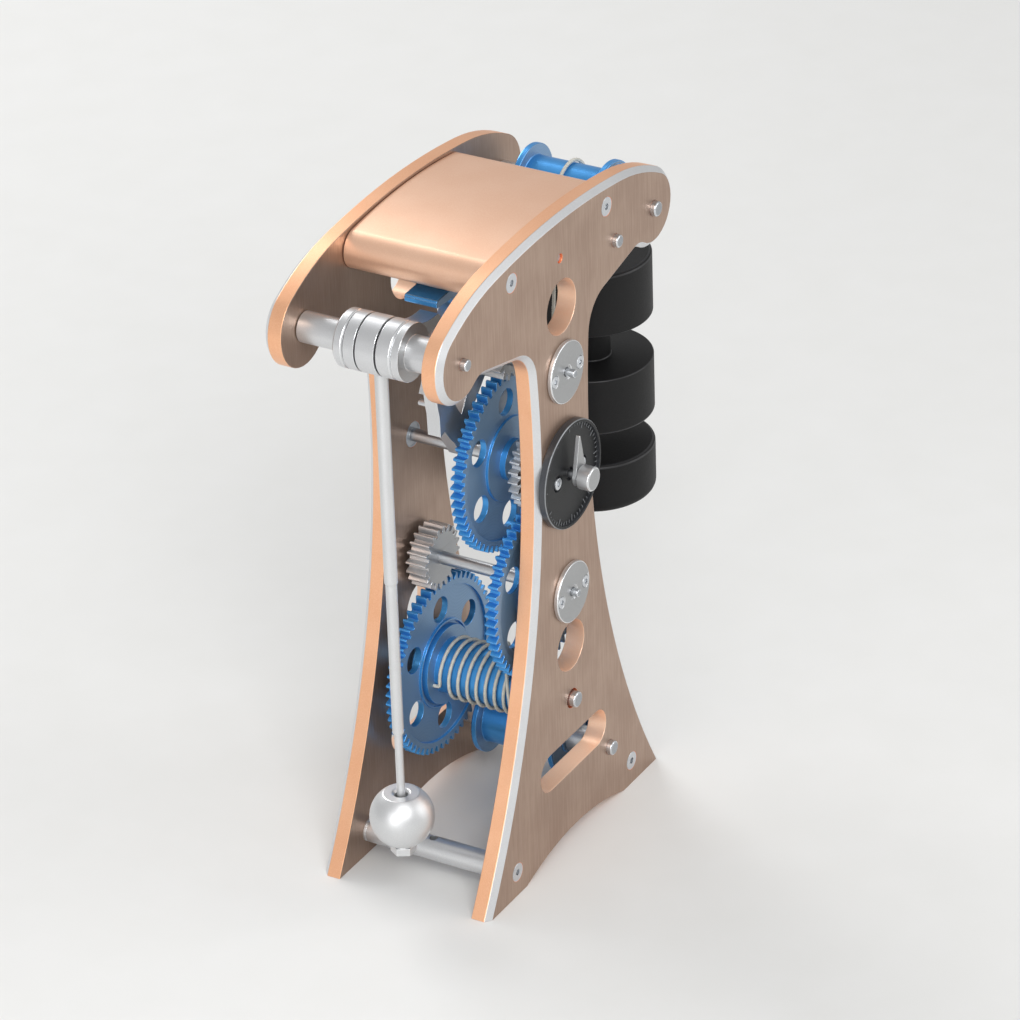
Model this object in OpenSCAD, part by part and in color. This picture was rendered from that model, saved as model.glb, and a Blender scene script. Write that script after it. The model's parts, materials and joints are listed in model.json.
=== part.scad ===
// Weight-driven pendulum clock model between two shaped plates, with a detent escapement.
// Millimetres. X runs across the plates, +Z is up, and the dial faces -Y.
// A depth is measured from the inner face of the back plate towards the dial.

/* [Plates] */
// Gap between the inner faces of the two plates
plate_gap = 74; // [72:0.5:84]
// Thickness of each plate
plate_t = 10; // [9:0.5:12]
// Chamfer round the outer face of each plate
plate_chamfer = 2.8; // [1:0.1:3.5]
// Overall height of a plate
plate_h = 338.8; // [338:0.2:342]
// Radius of the crown of a plate
crown_r = 430; // [400:5:480]
// Half-width of the crown before it turns into the shoulders
crown_half = 60; // [52:1:64]
// Distance from the centre line to the round end of each arm
arm_x = 89.6; // [88:0.2:96]
// Height of the round ends of the arms
arm_z = 304.2; // [302:0.2:306]
// Radius of the round end of each arm
arm_r = 19.8; // [18:0.1:21]
// Half-width of the waist
waist_half = 25.2; // [24:0.1:30]
// Height of the waist
waist_z = 225; // [210:1:235]
// Radius of the waist curves
waist_r = 451; // [430:1:480]
// Height of the underside of the arms at their middle
underarm_z = 288.4; // [286:0.2:290]
// Slope of the underside of the arms
underarm_slope = 13; // [8:0.5:16]
// Radius of the corner between an arm and the waist
underarm_corner_r = 17; // [12:0.5:22]
// Inner edge of each foot from the centre line
foot_inner_x = 48.5; // [40:0.5:60]
// Rise of the arch between the feet
foot_arch_h = 8.5; // [4:0.5:12]
// Radius of the upper round window
upper_window_r = 13.7; // [10:0.1:14]
// Height of the upper round window
upper_window_z = 292.4; // [291.6:0.2:294]
// Radius of the lower round window
lower_window_r = 13; // [10:0.1:13.4]
// Height of the lower round window
lower_window_z = 110; // [109.4:0.2:111]
// Length of the slot near the foot
slot_len = 64.6; // [40:0.2:70]
// Width of the slot near the foot
slot_w = 19.6; // [12:0.2:22]
// Height of the slot
slot_z = 50.2; // [46:0.2:52]

/* [Pillars and cover] */
// Diameter of the pillars
pillar_d = 12; // [10:0.1:12.4]
// Distance of the top pillars from the centre line
top_pillar_x = 44.4; // [42:0.2:46]
// Distance of the top pillars below the top of the plates
top_pillar_drop = 14.2; // [12.8:0.2:14.8]
// Distance of the foot pillars from the centre line
foot_pillar_x = 56.9; // [54:0.2:62]
// Height of the foot pillars
foot_pillar_z = 13; // [12:0.2:16]
// Diameter of the spigot at each end of a pillar
spigot_d = 8; // [7:0.1:9]
// Length of the spigot
spigot_len = 6.5; // [5:0.1:6.8]
// Diameter of the cross hole in each pillar
cross_hole_d = 4; // [3:0.1:5]
// Diameter of the pillar screws
pillar_screw_d = 5; // [4:0.5:5]
// Length of the pillar screws
pillar_screw_len = 20; // [16:1:25]
// Outer diameter of the tubes of the cover
cover_tube_d = 19.7; // [17:0.1:19.8]
// Distance of the cover's top below the top of the plates
cover_drop = 1.4; // [0.8:0.1:2]
// Thickness of the sheet of the cover
cover_t = 4.5; // [3:0.1:5]
// Diameter of the two studs at the top centre
stud_d = 8.5; // [7:0.1:9]
// Distance of the studs below the top of the plates
stud_drop = 21.4; // [20.8:0.1:22.3]
// Length of the rear stud
rear_stud_len = 28; // [20:0.5:28.5]
// Length of the front stud
front_stud_len = 26; // [18:0.5:26]

/* [Gear train] */
// Module of all the gears
gear_module = 1.5; // [1.48:0.005:1.51]
// Pressure angle of the teeth
pressure_angle = 20; // [19:0.5:22]
// Teeth of each of the three wheels
wheel_teeth = 60; // [60:1:60]
// Teeth of the pinion that the drum wheel drives
third_pinion_teeth = 20; // [20:1:20]
// Teeth of the pinion on the centre arbor
centre_pinion_teeth = 26; // [26:1:26]
// Teeth of the pinion on the escape arbor
escape_pinion_teeth = 12; // [12:1:12]
// Play between meshing teeth
backlash = 0.3; // [0.2:0.05:0.4]
// Height of the drum arbor
drum_z = 80.3; // [79.8:0.1:81]
// Thickness of a wheel
wheel_t = 6; // [5.5:0.1:6.2]
// Thickness of the third wheel and the centre pinion
front_gear_t = 5.4; // [4:0.1:5.6]
// Depth of the turned recess in a wheel
wheel_recess = 1.4; // [0.8:0.1:2]
// Radius of the holes in a wheel
wheel_hole_r = 6.7; // [5:0.1:7.2]
// Distance of those holes from the arbor
wheel_hole_at = 30; // [29:0.1:32]
// Radius of the raised disc of a wheel
wheel_disc_r = 21; // [18:0.1:22]
// Radius at which the rim of a wheel starts
wheel_rim_r = 40.3; // [38.5:0.1:41]
// Radius of the boss of a wheel
wheel_boss_r = 10.3; // [8:0.1:12]
// Height of the boss of a wheel
wheel_boss_h = 3.1; // [1:0.1:3.4]
// Radius of the train's arbors
arbor_r = 3.25; // [3:0.05:3.6]
// Radius of the thin ends of the train's arbors
journal_r = 2; // [1.6:0.05:2.2]
// Depth of the back face of the drum wheel
drum_wheel_depth = 6.5; // [5:0.1:6.8]
// Depth of the back face of the third pinion
third_pinion_depth = 2.5; // [2:0.1:4]
// Length of the third pinion
third_pinion_len = 11; // [10.5:0.1:12]
// Depth of the back face of the centre wheel
centre_wheel_depth = 47.6; // [47.4:0.1:49]
// Thickness of the washers before the front plate
washer_t = 1; // [0.6:0.1:1.2]
// Width of the small bearings
bearing_w = 5; // [4:0.1:6]
// Outer radius of the small bearings
bearing_r = 6.5; // [6:0.1:7]

/* [Drum] */
// Radius of the barrel of the drum
barrel_r = 14; // [13:0.1:15]
// Radius of the flanges of the drum
drum_flange_r = 20.3; // [19.8:0.1:21]
// Thickness of the flanges of the drum
drum_flange_t = 3.3; // [2:0.1:4]
// Radius of the drum arbor
drum_arbor_r = 4; // [3.5:0.05:4.5]
// Outer radius of the drum bearings
drum_bearing_r = 11; // [10:0.1:12]
// Width of the drum bearings
drum_bearing_w = 7; // [6:0.1:7.5]
// Diameter of the line
line_d = 2; // [1.6:0.1:2.1]
// Turns of line beside each other on the drum
line_turns = 8; // [6:1:8]

/* [Pulleys and weight] */
// Distance of the lower pulley from the centre line
lower_pulley_x = 35.2; // [33:0.1:37]
// Height of the lower pulley
lower_pulley_z = 33.1; // [31.5:0.1:34]
// Radius of the core of a pulley
pulley_core_r = 13.4; // [12:0.1:13.8]
// Radius of the flanges of a pulley
pulley_flange_r = 19; // [17:0.1:19.6]
// Thickness of the flanges of a pulley
pulley_flange_t = 3; // [2:0.1:4]
// Depth of the back face of the pulleys
pulley_depth = 15.5; // [14:0.1:17]
// Length of a pulley
pulley_len = 46.5; // [44:0.1:48]
// Radius of the pulley axles
axle_r = 4; // [3.9:0.05:4.5]
// Radius of the collars on the pulley axles
collar_r = 7; // [5.5:0.1:8]
// Radius of the weight
weight_r = 31.2; // [28:0.1:31.4]
// Top of the weight
weight_top_z = 266; // [255:1:268]
// Height of the upper disc of the weight
weight_upper_h = 32.4; // [28:0.1:34]
// Length of the neck of the weight
weight_neck_h = 24; // [18:0.1:28]
// Radius of the neck of the weight
weight_neck_r = 10; // [8:0.1:14]
// Height of the middle disc of the weight
weight_middle_h = 30.3; // [28:0.1:32]
// Gap between the middle and the lower disc
weight_rod_h = 16.8; // [12:0.1:20]
// Height of the lower disc of the weight
weight_lower_h = 26.7; // [24:0.1:30]
// Radius of the rod through the weight
weight_rod_r = 2; // [1.5:0.1:3]

/* [Escapement] */
// Radius over the teeth of the escape wheel
escape_tip_r = 49.7; // [48:0.1:49.7]
// Radius at the root of those teeth
escape_root_r = 45.6; // [44:0.1:46.5]
// Teeth of the escape wheel
escape_teeth = 12; // [12:1:12]
// Inner radius of the ring of the escape wheel
escape_ring_r = 32; // [28:0.1:34]
// Thickness of the escape wheel
escape_t = 7; // [5:0.1:7]
// Depth of the back face of the escape wheel
escape_depth = 35; // [34.8:0.1:35.3]
// Circle on which the escape pins stand
pin_circle_r = 41; // [38:0.1:42]
// Radius of the escape pins
pin_r = 1.5; // [1:0.1:2]
// How far the escape pins stand out behind the wheel
pin_len = 6; // [4:0.1:7]
// Distance of the detent arbor from the centre line
detent_x = 51.9; // [51:0.1:53]
// Height of the detent arbor
detent_z = 303.8; // [303:0.1:304.4]
// Radius of the detent arbor
detent_arbor_r = 3.2; // [2.8:0.05:3.4]
// Width of the detent, front to back
detent_w = 17.5; // [12:0.1:18]
// Depth of the middle of the detent
detent_depth = 38.3; // [38:0.1:38.6]
// Radius of the boss of the detent
detent_boss_r = 9.5; // [8:0.1:10]

/* [Pendulum] */
// Depth of the pendulum rod
rod_depth = 40.4; // [40:0.1:41]
// Radius of the rings of the pendulum hub
hub_r = 14; // [12.5:0.1:15]
// Radius of the tube behind the hub
hub_tube_r = 7.5; // [6.5:0.1:8.5]
// Depth at which the rings of the hub start
hub_depth = 23.3; // [20:0.1:24]
// Depth of the front face of the hub
hub_front_depth = 54; // [53:0.1:55]
// Swing of the pendulum to each side that the arms allow for, in degrees
swing = 5; // [3:0.5:5]
// Length of the upper part of the rod
rod_upper_len = 110.8; // [100:0.1:115]
// Length of the middle part of the rod
rod_middle_len = 81.8; // [70:0.1:90]
// Distance from the pendulum arbor to the middle of the bob
bob_drop = 253; // [240:0.5:256]
// Radius of the bob
bob_r = 15.7; // [14:0.1:18]
// Thickness of the rating nut
rating_nut_t = 5; // [4:0.1:6]
// Width across the flats of the rating nut
rating_nut_af = 11; // [9:0.1:13]

/* [Dial side] */
// Diameter of the dial
dial_d = 54; // [50:0.2:60]
// Height of the dial over the front plate
dial_h = 4; // [3:0.1:4.4]
// Diameter of the bearing caps
cap_d = 31; // [30.5:0.1:34]
// Thickness of the bearing caps
cap_t = 2.4; // [2:0.1:3]
// Distance of the cap screws from the arbor
cap_screw_at = 11.6; // [11:0.1:12]
// Reach of the pointer from its eye
pointer_len = 21.5; // [16:0.1:24]
// Diameter of the pointer nut
pointer_nut_d = 12; // [10:0.1:14]

/* [Fits] */
// Radial clearance of a turning shaft in its bore
running_fit = 0.05; // [0.03:0.01:0.09]
// Radial clearance of a fixed piece in its seat
seat_fit = 0.02; // [0.01:0.01:0.04]
// End play between a moving piece and its neighbour
end_play = 0.3; // [0.2:0.05:0.4]

/* [Hidden] */

$fn = 96;

// A little more than nothing, by which a cut runs past the face that it opens
cut = 1;

// Colours as the photograph shows them
copper = "#E3A582";
anodised_blue = "#2F8FE0";
steel = "#C9CCCF";
pale_steel = "#D9D9D6";
near_black = "#333333";
spacer_beige = "#B9B9A6";
brass_ring = "#A88A3C";
line_grey = "#B5AD9E";

// What sits in the crown keeps its distance from the top of the plates
top_pillar_z = plate_h - top_pillar_drop;
cover_top_z = plate_h - cover_drop;
stud_z = plate_h - stud_drop;

// Faces and depths of the front plate
front_in = plate_gap;
front_out = plate_gap + plate_t;

// Heights of the arbors, each from the teeth that meet below it
third_z = drum_z + gear_module * (wheel_teeth + third_pinion_teeth) / 2;
centre_z = third_z + gear_module * (wheel_teeth + centre_pinion_teeth) / 2;
escape_z = centre_z + gear_module * (wheel_teeth + escape_pinion_teeth) / 2;

// Seats of the small bearings, and the arbor shoulders that they hold
bearing_front = front_out - bearing_w;
shoulder_front = bearing_front - end_play;
journal_tip = front_out + 5.4;
back_relief = 1.5;
bearing_bore_r = journal_r + running_fit;

// Stack before the front plate: washer, boss and rim of the third wheel
washer_front = front_in - end_play - 0.1;
washer_back = washer_front - washer_t;
front_gear_front = washer_back - wheel_boss_h;
front_gear_back = front_gear_front - front_gear_t;

// The 12-tooth pinion is cut deeper into its wheel to keep its flanks whole
pinion_shift = 0.3;
drum_wheel_front = drum_wheel_depth + wheel_t;
escape_front = escape_depth + escape_t;
escape_pinion_len = centre_wheel_depth + wheel_t + 2.4 - escape_front;

// Drum between its wheel and the third wheel
drum_pocket_r = drum_flange_r + 1.6;
drum_back = drum_wheel_front - wheel_recess;
drum_front = front_gear_back - 0.5;
barrel_back = drum_back + drum_flange_t;
barrel_front = drum_front - drum_flange_t;

// Line: both layers on the drum, and the loops round the pulleys
line_r = line_d / 2;
line_gap = 0.42;
line_depth = pulley_depth + pulley_len / 2 + 0.2;
rings_per_turn = 24;
first_layer_r = (barrel_r + line_r + 0.05) / cos(180 / rings_per_turn);
second_layer_r = first_layer_r + line_d + line_gap;
loop_r = pulley_core_r + line_r + end_play;
weight_x = arm_x + loop_r;
lead_off = 12;

// Middle of the whole clock, from its outermost pieces
nut_front = front_out + 15.2;
mid_x = (weight_x + weight_r - arm_x - arm_r) / 2;
mid_depth = (nut_front - plate_t) / 2;

detent_back = detent_depth - detent_w / 2;
detent_front = detent_depth + detent_w / 2;

// Distance and direction from the pendulum arbor to the escape arbor
arbor_reach = norm([arm_x, arm_z - escape_z]);
arbor_slope = atan2(escape_z - arm_z, arm_x);

// Places a piece built along local +Z on the axis at x and z, starting at a depth
module at(x, z, depth) {
    translate([x - mid_x, mid_depth - depth, z]) rotate([90, 0, 0]) children();
}

function polar(r, a) = [r * cos(a), r * sin(a)];
function direction(v) = atan2(v[1], v[0]);
function unit(v) = v / norm(v);
function arc(c, r, a0, a1, n) = [for (i = [0:n]) c + polar(r, a0 + (a1 - a0) * i / n)];
function mix(a, b, t) = a + (b - a) * t;
function ease(t) = t * t * (3 - 2 * t);
function mirrored(points) = [for (i = [len(points) - 1:-1:0]) [-points[i][0], points[i][1]]];

module ring(outer, inner, len) {
    difference() {
        cylinder(r = outer, h = len);
        translate([0, 0, -cut]) cylinder(r = inner, h = len + 2 * cut);
    }
}

// A turned rod from [radius, start, end] steps, with small chamfers at both ends
module turned(steps, chamfer = 0.4) {
    last = len(steps) - 1;
    rotate_extrude() polygon(concat(
        [[0, steps[0][1]], [steps[0][0] - chamfer, steps[0][1]],
            [steps[0][0], steps[0][1] + chamfer]],
        [for (i = [0:1:last - 1]) each [[steps[i][0], steps[i][2]],
            [steps[i + 1][0], steps[i][2]]]],
        [[steps[last][0], steps[last][2] - chamfer],
            [steps[last][0] - chamfer, steps[last][2]], [0, steps[last][2]]]));
}

// Plate outline. Every arc keeps its centre when the outline is drawn in by an
// inset, so the outer face and the wall have matching points.
arm_end = [arm_x, arm_z];
crown_centre = [0, plate_h - crown_r];
crown_turn = asin(crown_half / crown_r);
crown_point = crown_centre + polar(crown_r, 90 - crown_turn);
shoulder_r = let (w = crown_point - arm_end, u = polar(1, 90 - crown_turn))
    (w * w - arm_r * arm_r) / (2 * (w * u - arm_r));
shoulder_centre = crown_point - polar(shoulder_r, 90 - crown_turn);
underarm_mid = [67, underarm_z];
underarm_dir = polar(1, underarm_slope);
underarm_down = polar(1, underarm_slope - 90);
arm_blend_r = 9;
waist_centre = [waist_half + waist_r, waist_z];

// Centre of a circle of radius r that touches the underarm line from below, at a
// distance from another centre; side picks one of the two solutions
function touching(centre, distance, r, side) =
    let (o = underarm_mid + r * underarm_down - centre,
        b = o * underarm_dir, c = o * o - distance * distance)
    centre + o + (-b + side * sqrt(b * b - c)) * underarm_dir;
arm_blend = touching(arm_end, arm_r + arm_blend_r, arm_blend_r, -1);
waist_blend = touching(waist_centre, waist_r - underarm_corner_r, underarm_corner_r, -1);
foot_arch_r = (foot_inner_x * foot_inner_x + foot_arch_h * foot_arch_h) / (2 * foot_arch_h);
foot_arch_turn = asin(foot_inner_x / foot_arch_r);

function half_outline(inset) =
    let (to_arm = direction(arm_end - shoulder_centre),
        arm_low = direction(arm_blend - arm_end),
        waist_top = direction(waist_blend - waist_centre),
        outer_waist_r = waist_r + inset,
        waist_end = -180 + asin(waist_z / outer_waist_r))
    concat(
        arc(crown_centre, crown_r - inset, 90, 90 - crown_turn * 0.9, 5),
        arc(shoulder_centre, shoulder_r - inset, 90 - crown_turn, to_arm, 6),
        arc(arm_end, arm_r - inset, to_arm - 10, arm_low + 10, 16),
        arc(arm_blend, arm_blend_r + inset, arm_low + 180, underarm_slope + 90, 4),
        arc(waist_blend, underarm_corner_r + inset, underarm_slope + 90, waist_top, 8),
        arc(waist_centre, outer_waist_r, waist_top + 1.2, waist_end + 360, 24));

function plate_outline(inset) =
    let (right = half_outline(inset),
        arch = arc([0, foot_arch_h - foot_arch_r], foot_arch_r,
            90 - foot_arch_turn, 90 + foot_arch_turn, 14))
    concat(right, arch, [for (p = mirrored(right)) if (p[0] < -0.01) p]);

// Edge of the plate from foot to foot over the top, run on below both feet
function edge_path(inset) =
    let (half = half_outline(inset), n = len(half),
        low = half[n - 1] + 2 * unit(half[n - 1] - half[n - 2]),
        right = concat(half, [low]))
    concat([for (p = mirrored(right)) if (p[0] < -0.01) p], right);

// Wedge all round the edge that leaves the chamfer on the outer face
module chamfer_wedge() {
    rows = [edge_path(-cut), edge_path(plate_chamfer + cut), edge_path(-2 * cut)];
    heights = [plate_t - plate_chamfer - cut, plate_t + cut, plate_t + cut];
    n = len(rows[0]);
    points = [for (r = [0:2], p = rows[r]) [p[0], p[1], heights[r]]];
    walls = [for (r = [0:2], i = [0:n - 2]) let (a = r * n + i, b = (r + 1) % 3 * n + i)
        each [[a, b, b + 1], [a, b + 1, a + 1]]];
    polyhedron(points, concat([[0, 2 * n, n]], walls, [[n - 1, 2 * n - 1, 3 * n - 1]]),
        convexity = 8);
}

module drill(x, z, r, from, to) {
    translate([x, z, from]) cylinder(r = r, h = to - from);
}

// Holes of both plates, with the inner face at local 0 and the outer face at plate_t
module shared_holes() {
    pillar_spots = [for (s = [-1, 1]) each [[s * top_pillar_x, top_pillar_z],
        [s * foot_pillar_x, foot_pillar_z]]];
    for (p = pillar_spots) {
        drill(p[0], p[1], spigot_d / 2 + seat_fit, -cut, spigot_len + end_play);
        drill(p[0], p[1], pillar_screw_d / 2 + 0.15, 0, plate_t + cut);
        translate([p[0], p[1], plate_t - screw_head_h])
            cylinder(r1 = pillar_screw_d / 2 + 0.15, r2 = screw_head_r + 0.15, h = screw_head_h);
    }
    drill(0, stud_z, stud_pin_r + seat_fit, -cut, plate_t + cut);
    for (p = [[arm_x, arm_z], [lower_pulley_x, lower_pulley_z]])
        drill(p[0], p[1], axle_end_r + seat_fit, -cut, plate_t + cut);
    drill(-arm_x, arm_z, pivot_r + running_fit, -cut, plate_t + cut);
    drill(detent_x, detent_z, detent_arbor_r + seat_fit, -cut, plate_t + cut);
    drill(0, upper_window_z, upper_window_r, -cut, plate_t + cut);
    drill(0, lower_window_z, lower_window_r, -cut, plate_t + cut);
    translate([0, slot_z, -cut]) linear_extrude(plate_t + 2 * cut) polygon(concat(
        arc([(slot_len - slot_w) / 2, 0], slot_w / 2, -90, 90, 24),
        arc([(slot_w - slot_len) / 2, 0], slot_w / 2, 90, 270, 24)));
    drill(0, drum_z, drum_bearing_r + seat_fit, -cut, drum_bearing_w);
    drill(0, drum_z, drum_arbor_r + 1, 0, plate_t + cut);
}

screw_head_r = 4.75;
screw_head_h = screw_head_r - pillar_screw_d / 2;
stud_pin_r = 2.25;
axle_end_r = axle_r - 0.25;
pivot_r = 2.85;
cap_screw_r = 1.5;
cap_screw_len = 8;
cap_screw_head_r = 3;
cap_screw_head_h = 1.8;
cap_floor = 0.8;
train_z = [third_z, centre_z, escape_z];

module back_plate() {
    color(copper) at(0, 0, 0) mirror([0, 0, 1]) difference() {
        linear_extrude(plate_t) polygon(plate_outline(0));
        shared_holes();
        for (z = train_z) {
            drill(0, z, bearing_r + seat_fit, -cut, bearing_w);
            drill(0, z, journal_r + 1.5, 0, bearing_w + back_relief);
        }
        chamfer_wedge();
    }
}

module front_plate() {
    color(copper) at(0, 0, front_in) difference() {
        linear_extrude(plate_t) polygon(plate_outline(0));
        shared_holes();
        for (z = train_z) {
            drill(0, z, bearing_r + seat_fit, plate_t - bearing_w, plate_t + cut);
            drill(0, z, bearing_r - 1.4, -cut, plate_t);
            for (s = [-1, 1])
                drill(s * cap_screw_at, z, cap_screw_r + 0.1,
                    plate_t + cap_floor - cap_screw_len - 0.4, plate_t + cut);
        }
        chamfer_wedge();
    }
}

// Pillar with a spigot and a tapped end towards each plate
module pillar(x, z) {
    at(x, z, 0) difference() {
        union() {
            turned([[spigot_d / 2, -spigot_len, 0], [pillar_d / 2, 0, plate_gap],
                [spigot_d / 2, plate_gap, plate_gap + spigot_len]]);
        }
        for (s = [-spigot_len - cut, plate_gap + spigot_len - pillar_screw_len])
            translate([0, 0, s]) cylinder(r = pillar_screw_d / 2 + 0.05, h = pillar_screw_len + cut);
        translate([0, 0, plate_gap / 2]) rotate([-90, 0, 0])
            cylinder(d = cross_hole_d, h = pillar_d);
        for (s = [1.2, plate_gap - 1.8]) translate([0, 0, s])
            ring(pillar_d / 2 + cut, pillar_d / 2 - 0.35, 0.6);
    }
}

module pillar_top_left() { color(pale_steel) pillar(-top_pillar_x, top_pillar_z); }
module pillar_top_right() { color(pale_steel) pillar(top_pillar_x, top_pillar_z); }
module pillar_foot_left() { color(pale_steel) pillar(-foot_pillar_x, foot_pillar_z); }
module pillar_foot_right() { color(pale_steel) pillar(foot_pillar_x, foot_pillar_z); }

// Countersunk screw with its head's face at local 0 and its shank towards +Z
module pillar_screw() {
    difference() {
        union() {
            cylinder(r1 = screw_head_r, r2 = pillar_screw_d / 2, h = screw_head_h);
            translate([0, 0, screw_head_h / 2])
                cylinder(d = pillar_screw_d, h = pillar_screw_len - screw_head_h / 2);
        }
        translate([0, 0, -cut]) cylinder(r = 1.75, h = 1.6 + cut, $fn = 6);
    }
}

module pillar_screws_front() {
    color(steel) for (s = [-1, 1], p = [[top_pillar_x, top_pillar_z], [foot_pillar_x, foot_pillar_z]])
        at(s * p[0], p[1], front_out) mirror([0, 0, 1]) pillar_screw();
}

module pillar_screws_back() {
    color(steel) for (s = [-1, 1], p = [[top_pillar_x, top_pillar_z], [foot_pillar_x, foot_pillar_z]])
        at(s * p[0], p[1], -plate_t) pillar_screw();
}

// Two short studs on one axis, each with a pin in its plate and a cross hole
module centre_studs() {
    color(pale_steel) {
        at(0, stud_z, 0) difference() {
            turned([[stud_pin_r, -plate_t + 1, 0], [stud_d / 2, 0, rear_stud_len]]);
            translate([0, 0, rear_stud_len - 10]) rotate([-90, 0, 0]) cylinder(d = 3, h = stud_d);
        }
        at(0, stud_z, front_in - front_stud_len) difference() {
            turned([[stud_d / 2, 0, front_stud_len],
                [stud_pin_r, front_stud_len, front_stud_len + plate_t - 1]]);
            translate([0, 0, 10]) rotate([-90, 0, 0]) cylinder(d = 3, h = stud_d);
        }
    }
}

// Curved sheet over the top, rolled into a tube round each top pillar
cover_rise = cover_top_z - top_pillar_z;
cover_tube_r = cover_tube_d / 2;
cover_r = (top_pillar_x * top_pillar_x + cover_rise * cover_rise - cover_tube_r * cover_tube_r)
    / (2 * (cover_rise - cover_tube_r));
module top_cover() {
    pillar_at = [top_pillar_x, top_pillar_z];
    centre = [0, cover_top_z - cover_r];
    touch = direction(pillar_at - centre);
    inner_r = cover_r - cover_t;
    // Where the underside of the sheet runs into the tube
    d = norm(pillar_at - centre);
    under = acos((inner_r * inner_r + d * d - cover_tube_r * cover_tube_r) / (2 * inner_r * d));
    join = centre + polar(inner_r, touch + under);
    half = concat(arc(centre, cover_r, 90, touch, 8),
        arc(pillar_at, cover_tube_r, touch - 8, direction(join - pillar_at) - 360, 30),
        arc(centre, inner_r, touch + under + 0.4, 90, 6));
    color(copper) at(0, 0, end_play) difference() {
        linear_extrude(plate_gap - 2 * end_play)
            polygon(concat(half, [for (p = mirrored(half)) if (p[0] < -0.01) p]));
        for (s = [-1, 1]) translate([s * top_pillar_x, top_pillar_z, -cut])
            cylinder(r = pillar_d / 2 + 0.25, h = plate_gap + 2 * cut);
    }
}

// Sealed ball bearing: a ring with a shallow groove on each face
module bearing(outer, bore, w) {
    groove = [mix(bore, outer, 0.28), mix(bore, outer, 0.78)];
    difference() {
        ring(outer, bore, w);
        for (z = [-cut, w - 0.4]) translate([0, 0, z]) ring(groove[1], groove[0], 0.4 + cut);
    }
}

module arbor_bearings_front() {
    color(steel) for (z = train_z)
        at(0, z, bearing_front) bearing(bearing_r, bearing_bore_r, bearing_w);
}

module arbor_bearings_back() {
    color(steel) for (z = train_z)
        at(0, z, -bearing_w) bearing(bearing_r, bearing_bore_r, bearing_w);
}

module drum_bearings() {
    color(steel) for (d = [-drum_bearing_w, front_in])
        at(0, drum_z, d) bearing(drum_bearing_r, drum_arbor_r + running_fit, drum_bearing_w);
}

// Round cap over a bearing, with two recessed screws
module bearing_caps() {
    color(pale_steel) for (z = [third_z, escape_z]) at(0, z, front_out) difference() {
        turned([[cap_d / 2, 0, cap_t]], 0.3);
        translate([0, 0, -cut]) cylinder(r = journal_r + 0.4, h = cap_t + 2 * cut);
        translate([0, 0, cap_t - 0.5]) cylinder(r = journal_r + 1.6, h = cut);
        for (s = [-1, 1]) translate([s * cap_screw_at, 0, 0]) {
            translate([0, 0, -cut]) cylinder(r = cap_screw_r + 0.1, h = cap_t + 2 * cut);
            translate([0, 0, cap_floor]) cylinder(r = cap_screw_head_r + 0.2, h = cap_t);
        }
    }
}

module face_screws() {
    color(steel) for (z = train_z, s = [-1, 1]) at(s * cap_screw_at, z, front_out + cap_floor)
        difference() {
            union() {
                cylinder(r = cap_screw_head_r, h = cap_screw_head_h);
                translate([0, 0, -cap_screw_len]) cylinder(r = cap_screw_r, h = cap_screw_len + 0.5);
            }
            translate([0, 0, cap_screw_head_h - 1]) cylinder(r = 1.4, h = 2, $fn = 6);
        }
}

// Dial: a shallow dish with sixty marks inside its rim
module dial() {
    floor_t = 2.2;
    rim_w = 1.6;
    marks = 60;
    color(near_black) at(0, centre_z, front_out) difference() {
        union() {
            difference() {
                turned([[dial_d / 2, 0, dial_h]], 0.4);
                translate([0, 0, floor_t]) cylinder(r = dial_d / 2 - rim_w, h = dial_h);
            }
            for (i = [0:marks - 1]) rotate(i * 360 / marks)
                translate([dial_d / 2 - rim_w - (i % 5 == 0 ? 3.4 : 1.7), -0.2, floor_t - 0.2])
                    cube([i % 5 == 0 ? 3.8 : 2.1, 0.4, 0.5]);
        }
        translate([0, 0, -cut]) cylinder(r = 3.4, h = floor_t + 2 * cut);
        for (s = [-1, 1]) translate([s * cap_screw_at, 0, 0]) {
            translate([0, 0, -cut]) cylinder(r = cap_screw_r + 0.1, h = floor_t + 2 * cut);
            translate([0, 0, cap_floor]) cylinder(r = 4.1, h = floor_t);
        }
    }
}

// Teeth. Half the angle of a tooth follows the involute above the base circle.
function involute(base, r) = r <= base ? 0 : let (t = sqrt(pow(r / base, 2) - 1)) t * 180 / PI - atan(t);
function gear_outline(teeth, shift = 0) =
    let (pitch_r = gear_module * teeth / 2,
        base_r = pitch_r * cos(pressure_angle),
        tip_r = pitch_r + gear_module * (1 + shift),
        root_r = pitch_r - gear_module * (1.25 - shift),
        flank_r = max(base_r, root_r),
        thick = PI * gear_module / 2 + 2 * shift * gear_module * tan(pressure_angle) - backlash / 2,
        half = thick / pitch_r * 90 / PI + involute(base_r, pitch_r),
        flank = concat(base_r > root_r ? [[root_r, half + 0.6]] : [],
            [for (i = [0:3]) let (r = mix(flank_r, tip_r, i / 3)) [r, half - involute(base_r, r)]]))
    [for (k = [0:teeth - 1]) let (a = 360 * k / teeth)
        each concat([for (f = flank) polar(f[0], a - f[1])],
            [for (i = [len(flank) - 1:-1:0]) polar(flank[i][0], a + flank[i][1])])];

// Arbor with a thin end in a bearing at each side and a flat for the front gear
module train_arbor(r, tip) {
    difference() {
        turned([[journal_r, -bearing_w + 0.2, end_play], [r, end_play, shoulder_front],
            [journal_r, shoulder_front, tip]], 0.3);
        translate([r - 0.65, -r - cut, front_gear_back - 1])
            cube([2 * r, 2 * r + 2 * cut, shoulder_front - front_gear_back + 1 + cut]);
    }
}

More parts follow.
